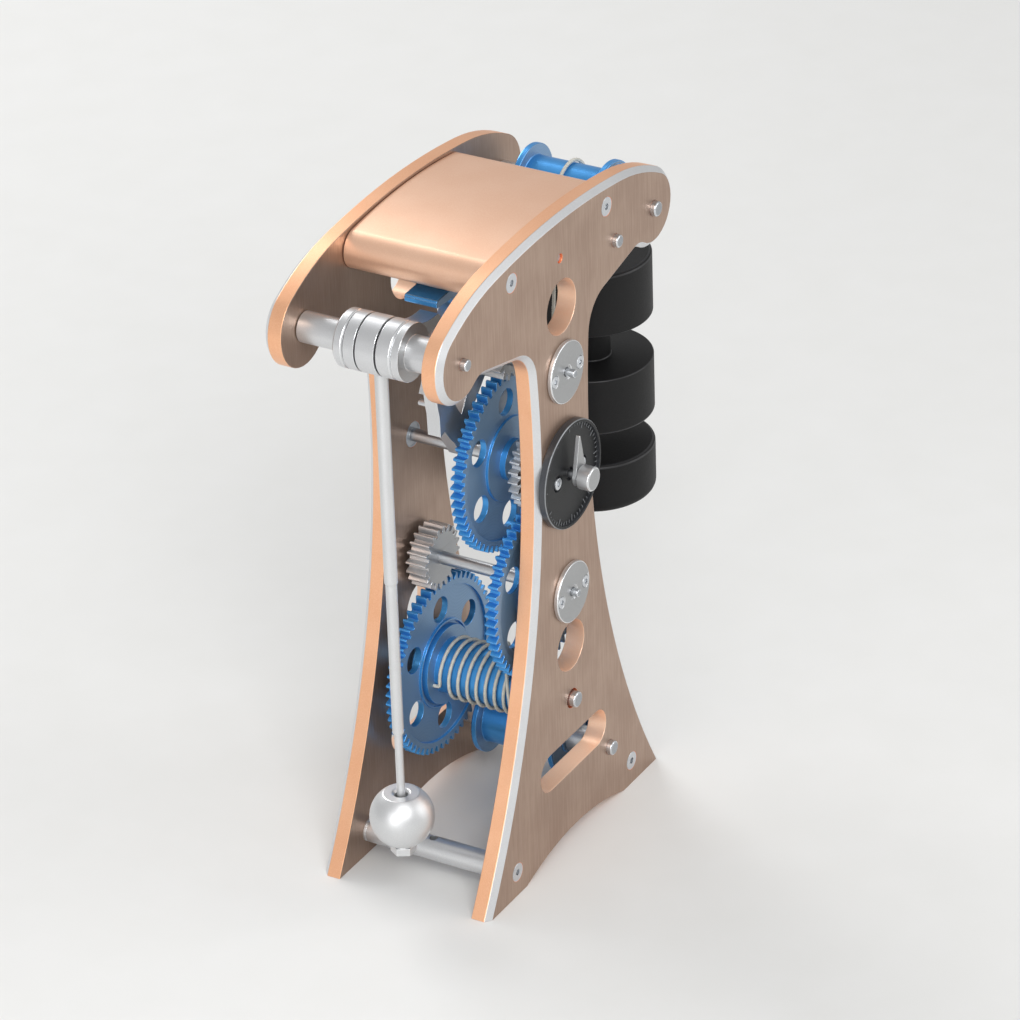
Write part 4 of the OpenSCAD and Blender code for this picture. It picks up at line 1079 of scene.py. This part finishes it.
@dataclass
class Screws:
    """Countersunk pillar screws and small cap screws.

    Attributes:
        pillar: countersunk screw, with its flat top at height 0.
        cap: cap screw, with the underside of its head at height 0.
        cap_reach: distance of the cap screws from the middle of their cap, in mm.
        cap_depth: depth at which their heads sit.
    """

    repeater: Repeater
    pillar: Screw = Screw(
        shank_r=2.5,
        length=20.0,
        tip=0.5,
        head=((2.5, -2.25), (4.75, -0.1), (4.63, 0.0)),
        across=3.5,
        depth=1.6,
        steps=48,
    )
    cap: Screw = Screw(
        shank_r=1.5,
        length=8.0,
        tip=0.3,
        head=((1.5, 0.0), (2.9, 0.0), (3.0, 0.1), (3.0, 1.45), (2.9, 1.68), (2.65, 1.8)),
        across=2.8,
        depth=1.0,
        steps=36,
    )
    cap_reach: float = 11.6
    cap_depth: float = 84.8

    def build(self) -> None:
        """Sets all fourteen screws."""
        for node, depth, turn in (
            ("pillar_screws_front", FRONT_OUTER, 90.0),
            ("pillar_screws_back", BACK_OUTER, -90.0),
        ):
            spots = [at(spot, depth) for spot in PILLARS.values()]
            self.repeater.repeat(node, self.pillar.form(), spots, STEEL_WALL, turn)
        spots = [
            place(x + side * self.cap_reach, self.cap_depth, z)
            for x, z in (THIRD, CENTRE, ESCAPE)
            for side in (-1, 1)
        ]
        self.repeater.repeat("face_screws", self.cap.form(), spots, STEEL_WALL)


class DialSkin(IntEnum):
    """Surfaces of the dial, each with its material number."""

    EDGE = 0
    FACE = 1
    MARK = 2
    LIP = 3


@dataclass
class DialSide:
    """Bearing caps, dial, pointer and its nut.

    Attributes:
        mark_start: radius from which the dial's raised marks run, in mm.
        mark_depth: depth of the marks' tops.
        level_mm: a face this close to that depth is a mark's top.
        lip_start: radius from which a sloping face belongs to the turned lip.
        dial_break: width of the dial's broken edges.
        pointer_break: the same for the pointer.
        cap_break: the same for the caps and the nut.
    """

    bench: Bench
    mark_start: float = 19.0
    mark_depth: float = 86.5
    level_mm: float = 0.06
    lip_start: float = 23.0
    dial_break: float = 0.08
    pointer_break: float = 0.12
    cap_break: float = 0.2

    def skin(self, middle: Vector, normal: Vector) -> DialSkin:
        """Chooses the surface of a face of the dial.

        Args:
            middle: middle of the face.
            normal: its outward normal.

        Returns:
            The surface.
        """
        depth = MID_DEPTH - middle.y / MM
        reach = math.hypot(middle.x / MM + MID_X - CENTRE[0], middle.z / MM - CENTRE[1])
        raised = abs(depth - self.mark_depth) < self.level_mm and normal.y < -SQUARE
        if raised and reach > self.mark_start:
            return DialSkin.MARK
        if SLOPED < abs(normal.y) < SQUARE and reach > self.lip_start:
            return DialSkin.LIP
        return DialSkin.FACE if abs(normal.y) > SQUARE else DialSkin.EDGE

    def build(self) -> None:
        """Finishes the pieces on the front plate's outer face."""
        centre = at(CENTRE, FRONT_OUTER)
        skins = [DIAL_EDGE, DIAL_FACE.around(centre), DIAL_MARK, DIAL_LIP]
        self.bench.dress("dial", skins, self.skin, self.dial_break)
        self.bench.machine(["bearing_caps"], MILLED, self.cap_break)
        self.bench.machine(["pointer"], MILLED, self.pointer_break)
        self.bench.machine(["pointer_nut"], CLEAR, self.cap_break, centre)


@dataclass
class Arbor:
    """One arbor or axle with what sits on it.

    Attributes:
        axis: where it lies.
        steel: nodes of ground steel.
        clear: nodes of clear aluminium.
        blue: nodes of azure anodised aluminium.
        steel_break: width of the broken edges of the steel pieces, in mm.
        clear_break: the same for the clear ones.
        blue_break: the same for the blue ones.
    """

    bench: Bench
    axis: Spot
    steel: tuple[str, ...] = ()
    clear: tuple[str, ...] = ()
    blue: tuple[str, ...] = ()
    steel_break: float = 0.15
    clear_break: float = 0.14
    blue_break: float = 0.14

    def build(self) -> None:
        """Finishes every node of the group."""
        centre = at(self.axis)
        self.bench.machine(self.steel, STEEL, self.steel_break, centre)
        self.bench.machine(self.clear, CLEAR, self.clear_break, centre)
        self.bench.machine(self.blue, BLUE, self.blue_break, centre)


@dataclass
class Pendulum:
    """Hub, arms, rod, bob and nut on the pendulum's arbor.

    Attributes:
        rod_depth: depth at which the rod hangs, in mm.
        hub_break: width of the broken edges of the hub's pieces.
        rod_break: the same for the rod, the nut and the bob.
        bob_drop: distance from the arbor down to the bob's middle.
        bob_r: radius of the bob's ball.
        bob_low: height of the bob's lower land below its middle.
        bob_land: height of its upper land, which is wider than the solid's.
        hole_r: radius of the hole in the upper land.
        sink_r: radius of the countersink round that hole.
        hole_deep: depth of the hole under its countersink.
        bore_r: radius of the bore below the hole.
        ball_steps: steps along the ball's outline.
        steps: steps round the axis.
    """

    bench: Bench
    rod_depth: float = 40.4
    hub_break: float = 0.2
    rod_break: float = 0.25
    bob_drop: float = 253.0
    bob_r: float = 15.7
    bob_low: float = 14.7
    bob_land: float = 13.0
    hole_r: float = 3.3
    sink_r: float = 4.4
    hole_deep: float = 5.0
    bore_r: float = 2.02
    ball_steps: int = 28
    steps: int = 72

    def bob_form(self) -> bpy.types.Mesh:
        """Turns the bob with the flat upper land and narrow hole of the photograph.

        Returns:
            The bob's mesh, in its place.
        """
        low, high = -math.asin(self.bob_low / self.bob_r), math.asin(self.bob_land / self.bob_r)
        turns = [low + (high - low) * i / self.ball_steps for i in range(self.ball_steps + 1)]
        ball = [(self.bob_r * math.cos(turn), self.bob_r * math.sin(turn)) for turn in turns]
        sink = self.bob_land - (self.sink_r - self.hole_r)
        floor = sink - self.hole_deep
        hole = [(self.sink_r, self.bob_land), (self.hole_r, sink), (self.hole_r, floor)]
        bore = [(self.bore_r, floor), (self.bore_r, -self.bob_low)]
        work = lathe([*ball, *hole, *bore, ball[0]], self.steps)
        spot = place(PENDULUM[0], self.rod_depth, PENDULUM[1] - self.bob_drop)
        bmesh.ops.translate(work, vec=spot, verts=work.verts)
        return mesh_of(work, "bob_form")

    def build(self) -> None:
        """Finishes the pendulum's pieces."""
        pivot = at(PENDULUM)
        hub = ("pendulum_hub", "impulse_arm", "release_arm", "hub_front_ring", "hub_bush")
        self.bench.machine(hub, CLEAR, self.hub_break, pivot)
        self.bench.machine(["pendulum_arbor"], STEEL, self.hub_break, pivot)
        hang = place(PENDULUM[0], self.rod_depth, 0)
        skins = [BLASTED_WALL, STEEL_FACE_PAINTED_SHADE.around(hang, upright=True)]
        for node in ("pendulum_rod", "rating_nut"):
            self.bench.dress(
                node, skins, facing_rule(upright=True), self.rod_break, BLASTED_EDGE
            )
        bob = self.bob_form()
        self.bench.dress(
            "pendulum_bob", [BLASTED_WALL], all_alike, self.rod_break, BLASTED_EDGE, bob
        )


@dataclass
class Weight:
    """Painted iron weight in three discs.

    Attributes:
        disc_break: width of the discs' worn corners, in mm.
        rod_break: the same for the rod.
    """

    bench: Bench
    disc_break: float = 0.5
    rod_break: float = 0.2

    def build(self) -> None:
        """Finishes the weight's pieces."""
        for node in ("weight_upper", "weight_lower"):
            self.bench.dress(node, [IRON_FACE], all_alike, self.disc_break, IRON_EDGE)
        self.bench.dress("weight_rod", [IRON_EDGE], break_mm=self.rod_break)


@dataclass
class Line:
    """The line: turns on the drum, the run over both pulleys, and the hanging end.

    The sizes repeat those of the source, so each stretch lies where its solid does.

    Attributes:
        radius: radius of the cord, in mm.
        depth: depth at which it runs over the pulleys.
        barrel_r: radius of the drum's barrel.
        barrel_back: depth of the barrel's rear end.
        barrel_front: depth of its front end.
        seat_gap: clearance between the barrel and the cord.
        end_gap: clearance between the last turn and the front flange.
        turns: number of turns on the drum.
        per_turn: points in a turn.
        start_turn: direction in which the first turn starts, in degrees.
        climb: stretch over which the cord climbs onto the first layer, in degrees.
        bend_r: radius of the bend between the stub and the first turn.
        layer_gap: clearance between the two layers.
        cross_steps: points on the way back over the first layer.
        lead_off: length of the straight cord that turns with the drum.
        lead_gap: gap between its end and the run.
        loop_r: radius of the cord's middle line on the pulleys.
        loop_steps: steps of the cord round a pulley.
        eye_top: height of the weight's eye.
        drop_steps: steps of the hanging stretch.
        ring_gap: distance between the cord's rings of points.
        lay: length over which its strands go once round.
        strands: number of its strands.
        groove: radius between the strands, as a share of the cord's.
        map_step: length of one ring on the cord's map.
    """

    bench: Bench
    radius: float = 1.0
    depth: float = 38.95
    barrel_r: float = 14.0
    barrel_back: float = 14.4
    barrel_front: float = 60.3
    seat_gap: float = 0.05
    end_gap: float = 0.3
    turns: int = 8
    per_turn: int = 24
    start_turn: float = 190.0
    climb: float = 60.0
    bend_r: float = 1.7
    layer_gap: float = 0.42
    cross_steps: int = 14
    lead_off: float = 12.0
    lead_gap: float = 0.6
    loop_r: float = 14.7
    loop_steps: int = 32
    eye_top: float = 275.0
    drop_steps: int = 8
    ring_gap: float = 0.6
    lay: float = 4.5
    strands: int = 4
    groove: float = 0.8
    map_step: float = 0.3

    @property
    def first_r(self) -> float:
        """Radius of the first layer's middle line."""
        return (self.barrel_r + self.radius + self.seat_gap) / math.cos(math.pi / self.per_turn)

    @property
    def second_r(self) -> float:
        """Radius at which the line crosses back over the first layer."""
        return self.first_r + 2 * self.radius + self.layer_gap

    @property
    def leave_turn(self) -> float:
        """Direction from the drum's middle at which the line leaves it, in degrees."""
        dx, dz = LOWER_PULLEY[0] - DRUM[0], LOWER_PULLEY[1] - DRUM[1]
        meet = math.acos((self.second_r + self.loop_r) / math.hypot(dx, dz))
        return math.degrees(math.atan2(dz, dx) + meet)

    @property
    def rise_turn(self) -> float:
        """Direction of the line's normal between the two pulleys, in degrees."""
        dx, dz = UPPER_PULLEY[0] - LOWER_PULLEY[0], UPPER_PULLEY[1] - LOWER_PULLEY[1]
        meet = math.acos(2 * self.loop_r / math.hypot(dx, dz))
        return math.degrees(math.atan2(dz, dx) - meet)

    @property
    def drop_start(self) -> Spot:
        """Where the line leaves the upper pulley for the weight."""
        return (UPPER_PULLEY[0] + self.loop_r, UPPER_PULLEY[1] - 2 * self.radius)

    @property
    def _spare(self) -> float:
        """Length of cord past an end that _trim cuts off, in mm."""
        return 1.6 * self.radius

    @staticmethod
    def _ease(t: float) -> float:
        """Smooth step from 0 to 1."""
        t = min(1.0, max(0.0, t))
        return t * t * (3 - 2 * t)

    def _leaving(self, run: float) -> Vector:
        """Point on the straight line from the drum.

        Args:
            run: distance from where the line leaves the drum, in mm.

        Returns:
            The point in the frame.
        """
        a, b = math.radians(self.leave_turn), math.radians(self.leave_turn - 90)
        x = DRUM[0] + self.second_r * math.cos(a) + run * math.cos(b)
        z = DRUM[1] + self.second_r * math.sin(a) + run * math.sin(b)
        return place(x, self.depth, z)

    def winding_path(self) -> list[Vector]:
        """Middle line of the turns on the drum.

        Returns:
            Points from the stub at the rear flange to the end of the straight lead.
        """
        stub_end = self.barrel_back + 2 * self.radius
        start = stub_end + self.bend_r
        end = self.barrel_front - self.radius - self.end_gap
        bend = math.degrees(self.bend_r / self.first_r)
        path = [
            around_axis(DRUM, self.first_r, self.start_turn + bend, depth)
            for depth in (self.barrel_back, stub_end)
        ]
        for b in (math.radians(30), math.radians(60)):
            turn = self.start_turn + bend * math.cos(b)
            depth = stub_end + self.bend_r * math.sin(b)
            path.append(around_axis(DRUM, self.first_r, turn, depth))
        travel = 360.0 * self.turns
        steps = self.per_turn * self.turns
        for i in range(steps + 1):
            u = travel * i / steps
            climb = self._ease((u - travel + self.climb) / self.climb)
            r = self.first_r + (self.second_r - self.first_r) * climb
            depth = start + (end - start) * u / travel
            path.append(around_axis(DRUM, r, self.start_turn - u, depth))
        cross = self.start_turn - self.leave_turn
        for i in range(1, self.cross_steps + 1):
            share = i / self.cross_steps
            depth = end + (self.depth - end) * self._ease(share)
            turn = self.start_turn - cross * share
            path.append(around_axis(DRUM, self.second_r, turn, depth))
        path += [self._leaving(2 * self.radius), self._leaving(self.lead_off + self._spare)]
        return path

    def run_path(self) -> list[Vector]:
        """Middle line from the drum round the lower pulley and over the upper one.

        Returns:
            Points of the stretch that is fixed to the frame.
        """
        path = [self._leaving(self.lead_off + self.lead_gap - self._spare)]
        for axis, first, last in (
            (LOWER_PULLEY, self.leave_turn + 180, 360 + self.rise_turn),
            (UPPER_PULLEY, self.rise_turn + 180, 0.0),
        ):
            for i in range(self.loop_steps + 1):
                turn = first + (last - first) * i / self.loop_steps
                path.append(around_axis(axis, self.loop_r, turn, self.depth))
        path.append(at(self.drop_start, self.depth))
        return path

    def drop_path(self) -> list[Vector]:
        """Middle line of the hanging stretch.

        Returns:
            Points from the upper pulley down to the weight's eye.
        """
        x, top = self.drop_start
        shares = [i / self.drop_steps for i in range(self.drop_steps + 1)]
        return [place(x, self.depth, top + (self.eye_top - top) * share) for share in shares]

    def rope(self, name: str, path: Sequence[Vector]) -> bpy.types.Mesh:
        """Lays a cord of several strands along a path.

        Args:
            name: name of the piece.
            path: points that the cord follows.

        Returns:
            The cord's mesh, with a map along its lay.
        """
        curve = bpy.data.curves.new(f"{name}_path", "CURVE")
        curve.dimensions = "3D"
        spline = curve.splines.new("POLY")
        spline.points.add(len(path) - 1)
        for point, spot in zip(spline.points, path):
            point.co = (*spot, 1.0)
        holder = put(f"{name}_path", curve)
        rule = GeometryTree(f"{name}_rule")
        sizes = {"Step": self.ring_gap * MM, "Radius": self.radius * MM, "Lay": self.lay * MM}
        for label, size in sizes.items():
            rule.size(label, size)
        add, entry = partial(add_node, rule.tree), rule.entry.outputs
        even = add(
            "GeometryNodeResampleCurve",
            {"Curve": entry["Geometry"], "Length": entry["Step"]},
            {"mode": "LENGTH"},
        )
        along = add("GeometryNodeSplineParameter").outputs["Length"]
        turns = add("ShaderNodeMath", {0: along, 1: entry["Lay"]}, {"operation": "DIVIDE"})
        times = {"operation": "MULTIPLY"}
        twist = add("ShaderNodeMath", {0: turns.outputs[0], 1: 2 * math.pi}, times)
        laid = add("GeometryNodeSetCurveTilt", {"Curve": even.outputs[0], "Tilt": twist.outputs[0]})
        groove = add("ShaderNodeMath", {0: entry["Radius"], 1: self.groove}, times)
        radii = {"Inner Radius": groove.outputs[0], "Outer Radius": entry["Radius"]}
        strands = add("GeometryNodeCurveStar", {"Points": self.strands, **radii})
        swept = add(
            "GeometryNodeCurveToMesh",
            {"Curve": laid.outputs[0], "Profile Curve": strands.outputs[0], "Fill Caps": True},
        )
        smooth = add("GeometryNodeSetShadeSmooth", {"Geometry": swept.outputs[0]})
        rule.finish(smooth.outputs[0], CORD.material())
        mesh = rule.make(holder, sizes)
        self._map_lay(mesh)
        return mesh

    def _map_lay(self, mesh: bpy.types.Mesh) -> None:
        """Gives a cord a map of how far along and round each corner lies.

        Args:
            mesh: cord whose points come in rings, with two points to a strand.
        """
        layer = mesh.uv_layers.new(name="lay")
        sides = 2 * self.strands
        for loop in mesh.loops:
            ring, side = divmod(loop.vertex_index, sides)
            layer.data[loop.index].uv = (ring * self.map_step, side / sides)

    def _trim(self, mesh: bpy.types.Mesh, run: float, beyond: bool) -> None:
        """Cuts a cord's end square to the drum's radius, so the drum can turn past it.

        Args:
            mesh: cord to cut.
            run: distance of the new end from where the line leaves the drum, in mm.
            beyond: true to cut off what lies farther from the drum, false for the rest.
        """
        spot = self._leaving(run)
        away = (spot - at(DRUM, self.depth)).normalized()
        form = bmesh.new()
        form.from_mesh(mesh)
        reach = 4 * self.radius * MM
        walls = [f for f in form.faces if (f.calc_center_median() - spot).length < reach]
        edges = {e for f in walls for e in f.edges}
        points = {v for f in walls for v in f.verts}
        cut = bmesh.ops.bisect_plane(
            form,
            geom=[*walls, *edges, *points],
            dist=SAME_POINT,
            plane_co=spot,
            plane_no=away,
            clear_outer=beyond,
            clear_inner=not beyond,
        )
        rim = [e for e in cut["geom_cut"] if isinstance(e, bmesh.types.BMEdge)]
        bmesh.ops.edgeloop_fill(form, edges=rim)
        form.to_mesh(mesh)
        form.free()

    def build(self) -> None:
        """Makes the three stretches of the line."""
        for node, body, path in (
            ("line_winding", "drum_group", self.winding_path()),
            ("line_run", "frame", self.run_path()),
            ("line_drop", "frame", self.drop_path()),
        ):
            mesh = self.rope(f"{node}_cord", path)
            if node == "line_winding":
                self._trim(mesh, self.lead_off, beyond=True)
            elif node == "line_run":
                self._trim(mesh, self.lead_off + self.lead_gap, beyond=False)
            piece = self.bench.adopt(mesh, f"{node}_cord", [CORD])
            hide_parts(node)
            if node == "line_drop":
                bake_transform(piece)
            else:
                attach(piece, body)
            LOG.info("laid %s", node)


@dataclass(frozen=True)
class Lamp:
    """A soft square lamp.

    Attributes:
        name: its name.
        spot: its place, in metres.
        size: its width, in metres.
        power: its power, in watts.
    """

    name: str
    spot: Point
    size: float
    power: float

    def hang(self, target: Point) -> None:
        """Hangs the lamp.

        Args:
            target: point that it faces.
        """
        data = bpy.data.lights.new(self.name, "AREA")
        data.shape = "SQUARE"
        data.size = self.size
        data.energy = self.power
        aim = (Vector(target) - Vector(self.spot)).to_track_quat("-Z", "Y")
        put(self.name, data).matrix_world = Matrix.Translation(self.spot) @ aim.to_matrix().to_4x4()


@dataclass
class Studio:
    """Pale floor, soft lights and the camera at the photograph's angle.

    Attributes:
        azimuth: direction of the camera round the clock, in degrees.
        elevation: its height angle.
        roll: turn of the picture.
        target: point that the camera looks at.
        distance: how far the camera stands off, in metres.
        lens: focal length, in mm.
        sensor: width of the picture behind the lens, in mm.
        far: distance over which the camera sees nothing, in metres.
        floor_half: half the floor's width, in metres.
        lamps: the lamps.
    """

    azimuth: float = -59.07
    elevation: float = 29.22
    roll: float = -1.96
    target: Point = (0.0, 0.0, 0.168)
    distance: float = 2.45
    lens: float = 180.0
    sensor: float = 36.0
    far: float = 50.0
    floor_half: float = 6.0
    lamps: tuple[Lamp, ...] = (
        Lamp("key_lamp", (-1.5, -1.3, 1.8), 1.3, 34.0),
        Lamp("fill_lamp", (1.0, -2.0, 1.0), 1.6, 14.0),
        Lamp("side_lamp", (-2.2, -0.2, 0.7), 1.2, 16.0),
        Lamp("rim_lamp", (0.8, 1.6, 1.5), 1.2, 20.0),
    )

    def floor(self) -> None:
        """Lays a pale floor that fades into the background."""
        made = bpy.data.materials.new("pale_studio_floor")
        add = partial(add_node, emptied(made))
        spot = add("ShaderNodeTexCoord").outputs["Object"]
        grain = add("ShaderNodeTexNoise", {"Vector": spot, "Scale": 30.0})
        tone = add(
            "ShaderNodeMix",
            {"Factor": grain.outputs[0], 6: linear("#DEDEDC"), 7: linear("#E2E2E1")},
            {"data_type": "RGBA"},
        )
        matt = {"Base Color": tone.outputs[2], "Roughness": 0.7, "Specular IOR Level": 0.2}
        shader = add("ShaderNodeBsdfPrincipled", matt)
        add("ShaderNodeOutputMaterial", {"Surface": shader.outputs[0]})
        mesh = bpy.data.meshes.new("studio_floor")
        half = self.floor_half
        corners = [(-half, -half, 0), (half, -half, 0), (half, half, 0), (-half, half, 0)]
        mesh.from_pydata(corners, [], [(0, 1, 2, 3)])
        mesh.materials.append(made)
        put("studio_floor", mesh)

    def sky(self) -> None:
        """Sets an even pale world."""
        world = bpy.data.worlds.new("studio_world")
        add = partial(add_node, emptied(world))
        back = add("ShaderNodeBackground", {"Color": linear("#F2F2F2"), "Strength": 0.55})
        add("ShaderNodeOutputWorld", {"Surface": back.outputs[0]})
        bpy.context.scene.world = world

    def camera(self) -> None:
        """Places the camera."""
        data = bpy.data.cameras.new("camera")
        data.lens = self.lens
        data.sensor_width = self.sensor
        data.clip_end = self.far
        camera = put("camera", data)
        a, e = math.radians(self.azimuth), math.radians(self.elevation)
        away = Vector((math.sin(a) * math.cos(e), -math.cos(a) * math.cos(e), math.sin(e)))
        spot = Vector(self.target) + away * self.distance
        look = (-away).to_track_quat("-Z", "Y").to_matrix().to_4x4()
        tilt = Matrix.Rotation(math.radians(self.roll), 4, "Z")
        camera.matrix_world = Matrix.Translation(spot) @ look @ tilt
        bpy.context.scene.camera = camera

    def build(self) -> None:
        """Sets up the whole studio."""
        self.sky()
        self.floor()
        for lamp in self.lamps:
            lamp.hang(self.target)
        self.camera()
        bpy.context.scene.view_settings.view_transform = "Standard"


def arbors(bench: Bench) -> list[Arbor]:
    """Lists the arbors and axles with what each carries.

    Args:
        bench: where the pieces are finished.

    Returns:
        The train from the drum up, then the detent and the two pulleys.
    """
    return [
        Arbor(bench, DRUM, ("drum_arbor",), ("drum_bushing",), ("drum", "drum_wheel")),
        Arbor(bench, THIRD, ("third_arbor",), ("third_pinion", "third_washer"), ("third_wheel",)),
        Arbor(
            bench, CENTRE, ("centre_arbor",), ("centre_pinion", "centre_washer"), ("centre_wheel",)
        ),
        Arbor(bench, ESCAPE, ("escape_arbor", "escape_pins"), ("escape_pinion", "escape_wheel")),
        Arbor(
            bench,
            DETENT,
            ("detent_arbor",),
            ("detent_sleeve",),
            ("detent",),
            steel_break=0.2,
            clear_break=0.15,
            blue_break=0.4,
        ),
        *(
            Arbor(bench, axis, (axle,), (), (pulley,), steel_break=0.2, blue_break=0.3)
            for axis, axle, pulley in (
                (UPPER_PULLEY, "upper_axle", "upper_pulley"),
                (LOWER_PULLEY, "lower_axle", "lower_pulley"),
            )
        ),
    ]


def main() -> None:
    """Builds the dressed clock in order and reports each piece."""
    logging.basicConfig(level=logging.INFO, format="%(message)s")
    bench = Bench(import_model())
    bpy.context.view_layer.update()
    repeater = Repeater(bench)
    for group in (
        Studio(),
        Plates(bench),
        FrameFurniture(bench),
        Bearings(repeater),
        Screws(repeater),
        DialSide(bench),
        *arbors(bench),
        Pendulum(bench),
        Weight(bench),
        Line(bench),
    ):
        group.build()
    LOG.info("%d pieces", bench.pieces)


if __name__ == "__main__":
    main()
